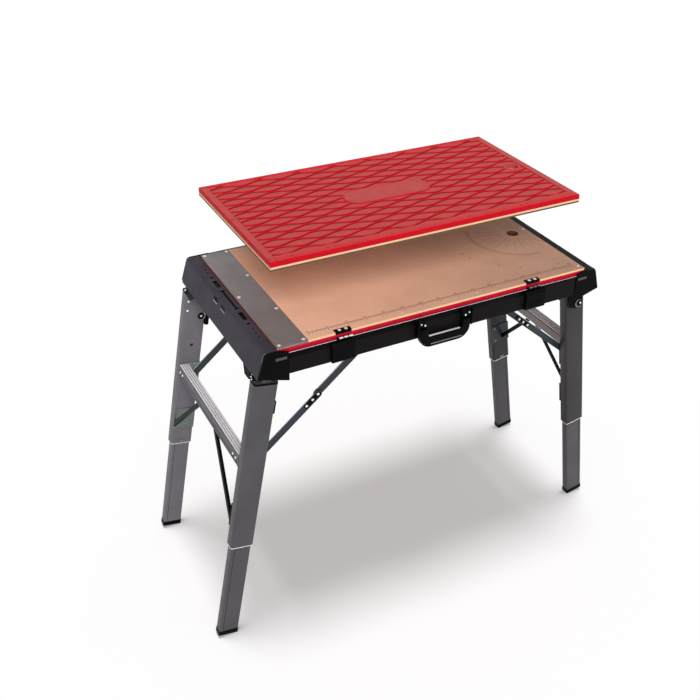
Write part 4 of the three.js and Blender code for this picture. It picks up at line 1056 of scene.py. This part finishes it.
class WORKBENCH_OT_braces(bpy.types.Operator):
    """Folding braces: pressed arms with a rolled rim, elbow plate and rivets"""
    bl_idname = "workbench.braces"
    bl_label = "Braces"

    def execute(self, context):
        for side, end in LEGS:
            key = f"{side}_{end}"
            sy = SIDES[side]
            foot = np.array(JOINTS[f"brace_lower_{key}"]["pos_m"])
            top = np.array(JOINTS[f"brace_upper_{key}"]["pos_m"])
            reach = np.linalg.norm(top - foot) / MM
            along = (top - foot) / (reach * MM)
            near = abs(LegFrame(end).sleeve(side)[0])
            outer = near - 2.6
            lower = LOWER_ARM[end]
            self.arm(f"brace_lower_{key}", foot, along, lower, sy, outer - 4.1, outer)
            self.arm(f"brace_upper_{key}", top, -along, reach - lower, sy, outer - 8.6, outer - 4.5)
            y_axis = np.array([0.0, sy, 0.0])
            at = lambda origin, way, a, y: origin + way * a * MM + y_axis * y * MM
            plate, _ = stadium(40, 7.2 if end == "left" else 5.4)
            path = np.array([at(foot, along, lower - 40, outer - 1.5), at(foot, along, lower - 40, outer - 0.7)])
            square = np.cross(along, y_axis)
            shells = [swept(plate * MM, path, along, square)]
            piece(f"elbow_plate_{key}", shells[0], f"brace_lower_{key}", finish("black_plastic"))
            heads = [turned(dome(3.6 * MM, 0.5 * MM, 0.1 * MM), at(foot, along, lower - a, outer - 0.75), y_axis, 16) for a in (0, 19, 40)]
            heads.append(turned(dome(5.0 * MM, 1.2 * MM, 0.3 * MM), at(foot, along, 0, outer - 4.2), -y_axis, 20))
            piece(f"elbow_rivets_{key}", combine(*heads), f"brace_lower_{key}", finish("bright_steel"), angle=50)
            heads = [turned(dome(5.0 * MM, 1.2 * MM, 0.4 * MM), at(top, -along, reach - lower, outer - 8.6), -y_axis, 20)]
            pin = [(0, -0.2), (4.6, -0.2), (4.6, 5.4), (4.0, 6.0), (0, 6.2)]
            heads.append(turned(np.array(pin) * MM, at(top, -along, 0, outer - 8.6), -y_axis, 20))
            piece(f"brace_pins_{key}", combine(*heads), f"brace_upper_{key}", finish("zinc"), angle=50)
        return {"FINISHED"}

    def arm(self, name, origin, along, length, sy, y0, y1):
        """A pressed arm: a thin plate with round ends, a rolled rim carried round its outline, and a bright strip along
        its upper edge as a painted highlight.
        """
        y_axis = np.array([0.0, sy, 0.0])
        square = np.cross(along, y_axis)
        half = 10.4 if name.endswith("left") else 8.6
        loop, out = stadium(length, half)
        inset, _ = stadium(length, half - 1.2)
        middle, thick = (y0 + y1) / 2, (y1 - y0) / 2
        path = np.array([origin + y_axis * (middle + k) * MM for k in (-0.9, 0.9)])
        plate = swept(inset * MM, path, along, square)
        t = np.linspace(0, 2 * np.pi, 12, endpoint=False)
        rim = np.stack([-1.5 + 1.5 * np.sign(np.cos(t)) * np.abs(np.cos(t)) ** 0.7,
                        thick * np.sign(np.sin(t)) * np.abs(np.sin(t)) ** 0.7], -1) * MM
        points = origin + (loop[:, :1] * along + loop[:, 1:] * square) * MM + y_axis * middle * MM
        outward = out[:, :1] * along + out[:, 1:] * square
        band = ring(rim, points, outward, np.broadcast_to(y_axis, points.shape))
        piece(name + "_pressed", combine(plate, band), name, finish("brace_steel"), [name], 50)
        # Painted highlight: a bright strip along the upper edge of the arm.
        rise = square if square[2] > 0 else -square
        path = np.array([origin + along * a * MM + rise * (half - 0.4) * MM + y_axis * middle * MM for a in (8, length - 8)])
        strip = np.array([(-0.62 * thick, -0.4), (0.62 * thick, -0.4), (0.5 * thick, 0.7), (-0.5 * thick, 0.7)]) * MM
        piece(name + "_edge", swept(strip, path, y_axis, rise), name, finish("bright_steel"))


class WORKBENCH_OT_clips(bpy.types.Operator):
    """Edge clips and latches, with their screws"""
    bl_idname = "workbench.clips"
    bl_label = "Clips and latches"

    def execute(self, context):
        for end in ENDS:
            softened(f"clip_latch_{end}", 2.0, segments=4)
            low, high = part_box(f"clip_plate_{end}")
            middle = {"left": -0.2655, "right": 0.2665}[end]
            crown = low.z + 2.4 * MM
            t = np.linspace(np.pi / 2, np.pi, 6)
            bend = np.stack([low.y + 2 * MM + 3.6 * MM * np.cos(t), crown - 3.6 * MM + 3.6 * MM * np.sin(t)], -1)
            hook = np.vstack([[(low.y + 12 * MM, low.z), (low.y + 12 * MM, crown - 1 * MM), (low.y + 11 * MM, crown)], bend,
                              [(low.y - 1.6 * MM, low.z - 4.8 * MM), (low.y - 0.4 * MM, low.z - 4.8 * MM), (low.y - 0.4 * MM, low.z)]])
            path = np.array([(middle + k * MM, 0, 0) for k in (-20.5, 20.5)])
            piece(f"clip_hook_{end}", swept(hook, path, (0, 1, 0), (0, 0, 1)), "bench_frame", finish("black_plastic"),
                  [f"clip_plate_{end}"])
            heads = [cross_screw((middle + k * 8.5 * MM, low.y + 4.5 * MM, crown), (0, 0, 1), 4.2 * MM, 0.9 * MM, k) for k in (-1, 1)]
            piece(f"clip_screws_{end}", combine(*heads), "bench_frame", finish("bright_steel"), angle=50)
            # Hinge knuckles: bright steel on the left, painted brighter as a highlight, and zinc on the right.
            knuckle = np.array([(0, 0), (2.1, 0), (2.1, 9.5), (0, 9.5)]) * MM
            shells = [turned(knuckle, (middle + k * MM, low.y - 6.6 * MM, low.z - 12.6 * MM), (1, 0, 0), 14) for k in (-14, -1.5, 11)]
            piece(f"clip_knuckles_{end}", combine(*shells), "bench_frame", finish("bright_steel" if end == "left" else "zinc"))
            leaf = rounded_bar((middle - 19 * MM, low.y - 6.2 * MM, low.z - 19.7 * MM), (middle + 19 * MM, low.y - 0.2 * MM, low.z - 12.4 * MM), 0.8 * MM, 0)
            piece(f"clip_leaf_{end}", leaf, "bench_frame", finish("black_plastic"))
            low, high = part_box(f"clip_latch_{end}")
            shells = [rounded_bar((low.x + 6 * MM, low.y - 0.7 * MM, z), (high.x - 6 * MM, low.y + 1.0 * MM, z + 2.2 * MM), 0.6 * MM, 0)
                      for z in low.z + np.array([8, 14, 20]) * MM]
            piece(f"latch_ridges_{end}", combine(*shells), f"latch_{end}", finish("black_plastic"))
        return {"FINISHED"}


class WORKBENCH_OT_handle(bpy.types.Operator):
    """Carry handle: rounded grip and its mounts"""
    bl_idname = "workbench.handle"
    bl_label = "Handle"

    def execute(self, context):
        low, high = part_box("handle_grip")
        middle = (low.y + high.y) / 2
        piece("handle_loop", self.loop(middle), "handle", finish("black_plastic"), ["handle_grip"], 40)
        # Painted highlights: a bright line along the top of the grip bar and a grey line along its lower front edge.
        lines = [rounded_bar((-0.044, low.y + 2 * MM, 0.7926), (0.044, low.y + 7 * MM, 0.7942), 0.5 * MM, 0),
                 rounded_bar((-0.04, low.y - 0.5 * MM, 0.7705), (0.048, low.y + 0.6 * MM, 0.7733), 0.4 * MM, 0)]
        for line, name, look in zip(lines, ("upper", "lower"), ("bright_steel", "zinc")):
            piece(f"handle_glint_{name}", line, "handle", finish(look))
        for end in ENDS:
            self.mount(end)
        return {"FINISHED"}

    def loop(self, y):
        """The grip: a rounded rectangle carried down one arm, round a bend, along the bar and up the other arm. Its half
        width goes from 12 in the arms to 15.5 in the bar."""
        t = np.linspace(0, np.pi / 2, 9)
        bend = np.stack([-40 - 20 * np.cos(t), 797.5 - 20 * np.sin(t)], -1)
        half = np.vstack([[(-60, 815), (-60, 806)], bend, [(-20, 777.5)]])
        line = np.vstack([half, half[::-1] * (-1, 1)])
        width = np.concatenate([[11, 12], np.linspace(12, 15.5, 9), [15.5]])
        width = np.concatenate([width, width[::-1]])
        along = np.gradient(line, axis=0)
        along /= np.linalg.norm(along, axis=1)[:, None]
        side = np.stack([along[:, 1], 0 * along[:, 0], -along[:, 0]], -1)
        section, _ = rounded_box_loop(2.0, 14.0, 0.9, 6)
        path = np.stack([line[:, 0], np.full(len(line), y / MM), line[:, 1]], -1)
        round_off = 1 - 0.25 * (np.abs(section[:, 1]) / 7.0) ** 6
        points = path[:, None] + (section[:, 0] * round_off)[None, :, None] * width[:, None, None] * side[:, None]
        points = points + section[:, 1][None, :, None] * np.array([0.0, 1.0, 0.0])
        n, m = len(path), len(section)
        caps = [np.arange(m)[::-1][None], (np.arange(m) + (n - 1) * m)[None]]
        return points.reshape(-1, 3) * MM, [grid_faces(n, m, wrap_cols=True)] + caps

    def mount(self, end):
        """A handle mount: a rounded block over the arm and an ear beside it, with two bolts."""
        sx = ENDS[end]
        low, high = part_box(f"handle_mount_{end}")
        span = lambda a, b: sorted((sx * a * MM, sx * b * MM))
        (x0, x1), (e0, e1) = span(49, 75), span(72.8, 77.4)
        shells = [rounded_bar((x0, low.y + 4 * MM, 0.8188), (x1, high.y - 0.1 * MM, 0.8425), 4.5 * MM, 1),
                  rounded_bar((e0, low.y, low.z + 2 * MM), (e1, high.y - 0.1 * MM, 0.8405), 1.8 * MM, 1)]
        piece(f"handle_bracket_{end}", combine(*shells), "bench_frame", finish("black_plastic"), [f"handle_mount_{end}"])
        heads = [turned(dome(r * MM, 1.4 * MM, 0.3 * MM), (sx * x * MM, low.y + 4 * MM, z * MM), (0, -1, 0), 16)
                 for x, z, r in ((57, 826, 2.6), (67.5, 831, 2.2))]
        piece(f"mount_screws_{end}", combine(*heads), "bench_frame", finish("bright_steel"), angle=50)


class WORKBENCH_OT_panel(bpy.types.Operator):
    """Lifted panel: waving rubber ribs on a flat field, board and catches"""
    bl_idname = "workbench.panel"
    bl_label = "Lifted panel"

    def execute(self, context):
        softened("panel_board", 0.8)
        for end in ENDS:
            softened(f"panel_catch_{end}", 1.0)
        points, faces, flat = self.mat()
        mesh = mesh_of("panel_mat_ribbed", points, faces, flat)
        place(mesh, "panel_mat_ribbed", "lifted_panel", finish("red_rubber"), ["panel_mat"], 60)
        points, faces, flat = self.fittings()
        mesh = mesh_of("panel_oval", points, faces, flat)
        place(mesh, "panel_oval", "lifted_panel", finish("red_rubber"))
        low, high, field = self.lines()
        spots = [(low[0] + x * MM, low[1] + 12 * MM) for x in (57, 142, 160, 303, 511, 660, 677)]
        spots += [(low[0] + 5 * MM, high[1] - y * MM) for y in (210, 425)]
        dots = [turned(dome(1.8 * MM, 0.4 * MM, 0.05 * MM), (x, y, high[2]), (0, 0, 1), 12) for x, y in spots]
        piece("panel_pins", combine(*dots), "lifted_panel", finish("black_plastic"))
        return {"FINISHED"}

    def lines(self):
        """Box of the mat, and the limits of its field."""
        s = sizes()
        low, high = (np.array(v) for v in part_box("panel_mat"))
        field = (low[0] + s.border_end, high[0] - s.border_end, low[1] + s.border_front, high[1] - s.border_back)
        return low, high, field

    def mat(self):
        """Rows follow the ribs and columns cross them. A rib's line is y = base + k pitch + (-1)^k swing cos(2 pi x / period).
        Height = top - drop (1 - rib), rib = root of 1 - (offset / half width) squared, and the drop fades out over the
        borders. Rows past the field's edge are held at that edge."""
        s = sizes()
        low, high, field = self.lines()
        half = s.rib_width / 2
        xs = np.concatenate([[low[0], low[0] + 0.6 * MM, low[0] + 2 * MM, field[0] - 2 * MM, field[0]],
                             np.linspace(field[0] + 0.3 * MM, field[1] - 0.3 * MM, 206),
                             [field[1], field[1] + 2 * MM, high[0] - 2 * MM, high[0] - 0.6 * MM, high[0]]])
        base = high[1] - 107 * MM
        phase = np.cos(2 * np.pi * (xs - low[0] - 50 * MM) / s.rib_period) * s.rib_swing
        steps = np.array([-1.25, -1.2, -1, -0.8, -0.5, -0.2, 0.1, 0.4, 0.7, 0.95, 1.05])
        # Rib values: 1 takes the painted sheen of the flat parts, 0 the red of a rib, and below 0 painted shade,
        # darkest along the front foot of each rib.
        value = np.array([1, -1, -1, -0.6, 0, 0, 0, 0, 0, -0.3, 1])
        first = math.ceil((field[2] - base - 12 * MM) / s.rib_pitch)
        last = math.floor((field[3] - base + 12 * MM) / s.rib_pitch)
        rows, rib, flat = [], [], []
        for k in range(first, last + 1):
            way = 1 if k % 2 == 0 else -1
            line = base + k * s.rib_pitch + way * phase
            rows.append(line[None] + half * steps[:, None])
            rib.append(np.sqrt(np.clip(1 - steps ** 2, 0, 1)))
            flat.append(value)
            after = base + (k + 1) * s.rib_pitch - way * phase
            rows.append(((line + after) / 2)[None])
            rib.append(np.zeros(1))
            flat.append(np.ones(1))
        y = np.concatenate(rows)
        rib = np.concatenate(rib)[:, None] * np.ones_like(y)
        flat = np.concatenate(flat)[:, None] * np.ones_like(y)
        held = (y <= field[2]) | (y >= field[3])
        y = np.clip(y, field[2], field[3])
        rib, flat = np.where(held, 0, rib), np.where(held, 1, flat)
        ends = (xs < field[0] + 1e-9) | (xs > field[1] - 1e-9)
        drop = np.where(ends, 0.0, s.rib_height)
        flat = np.where(ends[None], 1.0, flat)
        z = high[2] - drop[None] * (1 - rib)
        edge = lambda value, lift, tone: (np.full((1, len(xs)), value), np.full((1, len(xs)), lift), np.full((1, len(xs)), tone))
        # The rounded front rim takes a little painted shade (-0.3).
        front = [edge(low[1], high[2] - 2 * MM, -0.3), edge(low[1] + 0.6 * MM, high[2] - 0.6 * MM, -0.3),
                 edge(low[1] + 2 * MM, high[2], 0.4), edge(field[2] - 1.0 * MM, high[2], 0.9)]
        back = [edge(field[3] + 1.0 * MM, high[2], 0.1), edge(high[1] - 2 * MM, high[2], 0),
                edge(high[1] - 0.6 * MM, high[2] - 0.6 * MM, 0), edge(high[1], high[2] - 2 * MM, 0)]
        y, z, flat = (np.concatenate([e[i] for e in front] + [m] + [e[i] for e in back]) for i, m in enumerate((y, z, flat)))
        rim = np.full(len(xs), high[2])
        rim[[0, -1]], rim[[1, -2]] = high[2] - 2 * MM, high[2] - 0.6 * MM
        z = np.minimum(z, rim[None])
        # Painted shade on the rounded rim at both ends (-0.4) and along the step at the left edge of the field (-0.6).
        flat[:, [0, 1, -2, -1]] = -0.4
        flat[:, 4] = -0.6
        x = np.broadcast_to(xs, y.shape)
        away = np.hypot(x - self.hole()[0], y - self.hole()[1])
        bore = away < 20 * MM
        out = np.where(bore, 20 * MM / np.maximum(away, 1e-6), 1.0)
        x, y = self.hole()[0] + (x - self.hole()[0]) * out, self.hole()[1] + (y - self.hole()[1]) * out
        inset = np.hypot(np.maximum(np.abs(x - self.middle()[0]) - (s.oval_length - s.oval_width) / 2, 0), y - self.middle()[1])
        sunk = (inset < s.oval_width / 2 - 1.5 * MM) | (away < 24 * MM)
        z = np.where(sunk, np.minimum(z, high[2] - s.rib_height), z)
        flat = np.where(sunk, 1, flat)
        upper = np.stack([x, y, z], -1).reshape(-1, 3)
        lower = upper.copy()
        lower[:, 2] = low[2]
        faces = grid_faces(*y.shape)
        faces = faces[~bore.reshape(-1)[faces].all(1)]
        flipped = faces[:, ::-1] + len(upper)
        edges = np.concatenate([faces[:, [i, (i + 1) % 4]] for i in range(4)])
        _, index, counts = np.unique(np.sort(edges, 1), axis=0, return_index=True, return_counts=True)
        rim_edges = edges[index[counts == 1]]
        walls = np.stack([rim_edges[:, 1], rim_edges[:, 0], rim_edges[:, 0] + len(upper), rim_edges[:, 1] + len(upper)], -1)
        # The sides and underside of the mat take a little painted shade (-0.3).
        return np.concatenate([upper, lower]), [faces, flipped, walls], np.concatenate([flat.reshape(-1), np.full(len(lower), -0.3)])

    def hole(self):
        """Middle of the finger hole."""
        return self.lines()[1][0] - 46 * MM, 0.0

    def middle(self):
        """Middle of the bare oval."""
        low, high, field = self.lines()
        return low[0] + 409 * MM, high[1] - 218 * MM

    def fittings(self):
        """The rim of the finger hole, turned about its axis, and the bare oval: a flat plate with a stepped round edge."""
        s = sizes()
        low, high, field = self.lines()
        top, foot = high[2] / MM, low[2] / MM
        bezel = np.array([(16, foot), (16, top - 0.8), (16.6, top), (22.5, top), (23.4, top - 0.7), (23.4, top - 2.5),
                          (17.5, top - 2.5), (17.5, foot), (16, foot)]) * MM
        collar = turned(bezel, (*self.hole(), 0), (0, 0, 1), 48)
        span = (s.oval_length - s.oval_width) / 2
        loop, out = stadium(2 * span, s.oval_width / 2, 24)
        loop = loop - (span, 0)
        rim = np.array([(0, -2.2), (0, -0.7), (-0.7, 0), (-5, 0), (-6.5, -0.25)]) * MM
        layers = [np.column_stack([loop + out * a, np.full(len(loop), b)]) + (*self.middle(), high[2]) for a, b in rim]
        n, m = len(loop), len(rim)
        oval = (np.concatenate(layers), [grid_faces(m, n, wrap_cols=True), (np.arange(n) + (m - 1) * n)[None], np.arange(n)[::-1][None]])
        # Rib values of the fittings: the outer lip of the oval takes painted shade (-0.6), and the collar and the top
        # of the oval take the painted sheen (0.9 to 1).
        tones = np.concatenate([np.full(len(collar[0]), 0.9), np.repeat([-0.6, 0.0, 0.2, 0.9, 1.0], n)])
        return (*combine(collar, oval), tones)


class WORKBENCH_OT_stage(bpy.types.Operator):
    """Stage: pale floor, soft light and the camera"""
    bl_idname = "workbench.stage"
    bl_label = "Stage"

    def execute(self, context):
        scene, s = context.scene, context.scene.workbench_stage
        scene.view_settings.view_transform = "Standard"
        span = np.linspace(-20, 20, 3)
        x, y = np.meshgrid(span, span, indexing="ij")
        points = np.stack([x, y, np.full_like(x, -0.0003)], -1).reshape(-1, 3)
        mesh = bpy.data.meshes.new("floor")
        mesh.from_pydata(points.tolist(), [], grid_faces(3, 3)[:, ::-1].tolist())
        floor = bpy.data.objects.new("floor", mesh)
        scene.collection.objects.link(floor)
        mesh.materials.append(self.floor_material(tuple(s.floor)))
        self.world(scene, s.fill)
        key = self.sun("key_light", s.key, (-0.25, -0.71, 0.62), 27)
        top = self.sun("top_light", s.top, (0.0, 0.04, 1.0), 18)
        bench = [obj for obj in scene.objects if obj.type == "MESH" and obj != floor]
        key.light_linking.receiver_collection = self.group("bench", bench)
        top.light_linking.receiver_collection = self.group("ground", [floor])
        top.light_linking.blocker_collection = self.group("standing", [o for o in bench if o.get("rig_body") != "lifted_panel"])
        self.camera(scene, s)
        return {"FINISHED"}

    def group(self, name, objects):
        """A set of objects for a lamp to light, or to be held back by."""
        collection = bpy.data.collections.new(name)
        for obj in objects:
            collection.objects.link(obj)
        return collection

    def seen(self, shader):
        """1 for rays from the camera or off glossy surfaces or through clear ones."""
        path = shader.nodes.new("ShaderNodeLightPath")
        total = path.outputs["Is Camera Ray"]
        for name in ("Is Glossy Ray", "Is Transmission Ray"):
            add = shader.nodes.new("ShaderNodeMath")
            add.operation, add.use_clamp = "ADD", True
            shader.links.new(total, add.inputs[0])
            shader.links.new(path.outputs[name], add.inputs[1])
            total = add.outputs["Value"]
        return total

    def floor_material(self, colour):
        s = Shader("floor_paint")
        s.colour(s.ramp(s.noise(0.8, 2), (0.3, shade(colour, 0.99)), (0.7, colour)))
        s.set(Roughness=0.9, Specular_IOR_Level=0.0)
        glow = s.node("ShaderNodeMath", operation="MULTIPLY")
        s.link(self.seen(s.tree), glow.inputs[0])
        glow.inputs[1].default_value = 0.27
        s.bsdf.inputs["Emission Color"].default_value = (1, 1, 1, 1)
        s.link(glow.outputs["Value"], s.bsdf.inputs["Emission Strength"])
        return s.material

    def world(self, scene, fill):
        world = bpy.data.worlds.new("studio")
        scene.world = world
        world.use_nodes = True
        tree = world.node_tree
        background = tree.nodes["Background"]
        strength = tree.nodes.new("ShaderNodeMapRange")
        strength.inputs["To Min"].default_value = fill
        strength.inputs["To Max"].default_value = 1.0
        tree.links.new(self.seen(tree), strength.inputs["Value"])
        background.inputs["Color"].default_value = (1, 1, 1, 1)
        tree.links.new(strength.outputs["Result"], background.inputs["Strength"])

    def sun(self, name, strength, towards, spread):
        light = bpy.data.lights.new(name, "SUN")
        light.energy, light.angle = strength, math.radians(spread)
        lamp = bpy.data.objects.new(name, light)
        bpy.context.scene.collection.objects.link(lamp)
        u, v, w = axes_of(towards)
        lamp.matrix_world = Matrix([[u[i], v[i], w[i], 3 * w[i]] for i in range(3)] + [[0, 0, 0, 1]])
        return lamp

    def camera(self, scene, s):
        data = bpy.data.cameras.new("camera")
        data.lens, data.sensor_width, data.clip_end = s.lens, 36, 100
        obj = bpy.data.objects.new("camera", data)
        scene.collection.objects.link(obj)
        ca, sa, ce, se = math.cos(s.azimuth), math.sin(s.azimuth), math.cos(s.elevation), math.sin(s.elevation)
        view = np.array([sa * ce, ca * ce, -se])
        right = np.array([ca, -sa, 0.0])
        up = np.cross(right, view)
        cr, sr = math.cos(s.roll), math.sin(s.roll)
        right, up = cr * right + sr * up, cr * up - sr * right
        obj.matrix_world = Matrix([[right[i], up[i], -view[i], s.eye[i]] for i in range(3)] + [[0, 0, 0, 1]])
        scene.camera = obj


PIECES = [WORKBENCH_OT_worktop, WORKBENCH_OT_print, WORKBENCH_OT_frame, WORKBENCH_OT_legs, WORKBENCH_OT_rungs,
          WORKBENCH_OT_plates, WORKBENCH_OT_braces, WORKBENCH_OT_clips, WORKBENCH_OT_handle, WORKBENCH_OT_panel,
          WORKBENCH_OT_stage]


class WORKBENCH_PT_sidebar(bpy.types.Panel):
    """Workbench pieces and their sizes"""
    bl_idname = "WORKBENCH_PT_sidebar"
    bl_label = "Workbench"
    bl_space_type = "VIEW_3D"
    bl_region_type = "UI"
    bl_category = "Workbench"

    def draw(self, context):
        for cls in PIECES:
            self.layout.operator(cls.bl_idname)
        for group in (context.scene.workbench_sizes, context.scene.workbench_colours, context.scene.workbench_stage):
            box = self.layout.box()
            for key in group.__annotations__:
                box.prop(group, key)


CLASSES = [WorkbenchSizes, WorkbenchColours, WorkbenchStage, *PIECES, WORKBENCH_PT_sidebar]


def register():
    for cls in CLASSES:
        bpy.utils.register_class(cls)
    bpy.types.Scene.workbench_sizes = PointerProperty(type=WorkbenchSizes)
    bpy.types.Scene.workbench_colours = PointerProperty(type=WorkbenchColours)
    bpy.types.Scene.workbench_stage = PointerProperty(type=WorkbenchStage)


def unregister():
    for name in ("workbench_sizes", "workbench_colours", "workbench_stage"):
        delattr(bpy.types.Scene, name)
    for cls in reversed(CLASSES):
        bpy.utils.unregister_class(cls)


def main():
    register()
    for name in ("worktop", "print", "frame", "legs", "rungs", "plates", "braces", "clips", "handle", "panel", "stage"):
        getattr(bpy.ops.workbench, name)()


if __name__ == "__main__":
    main()
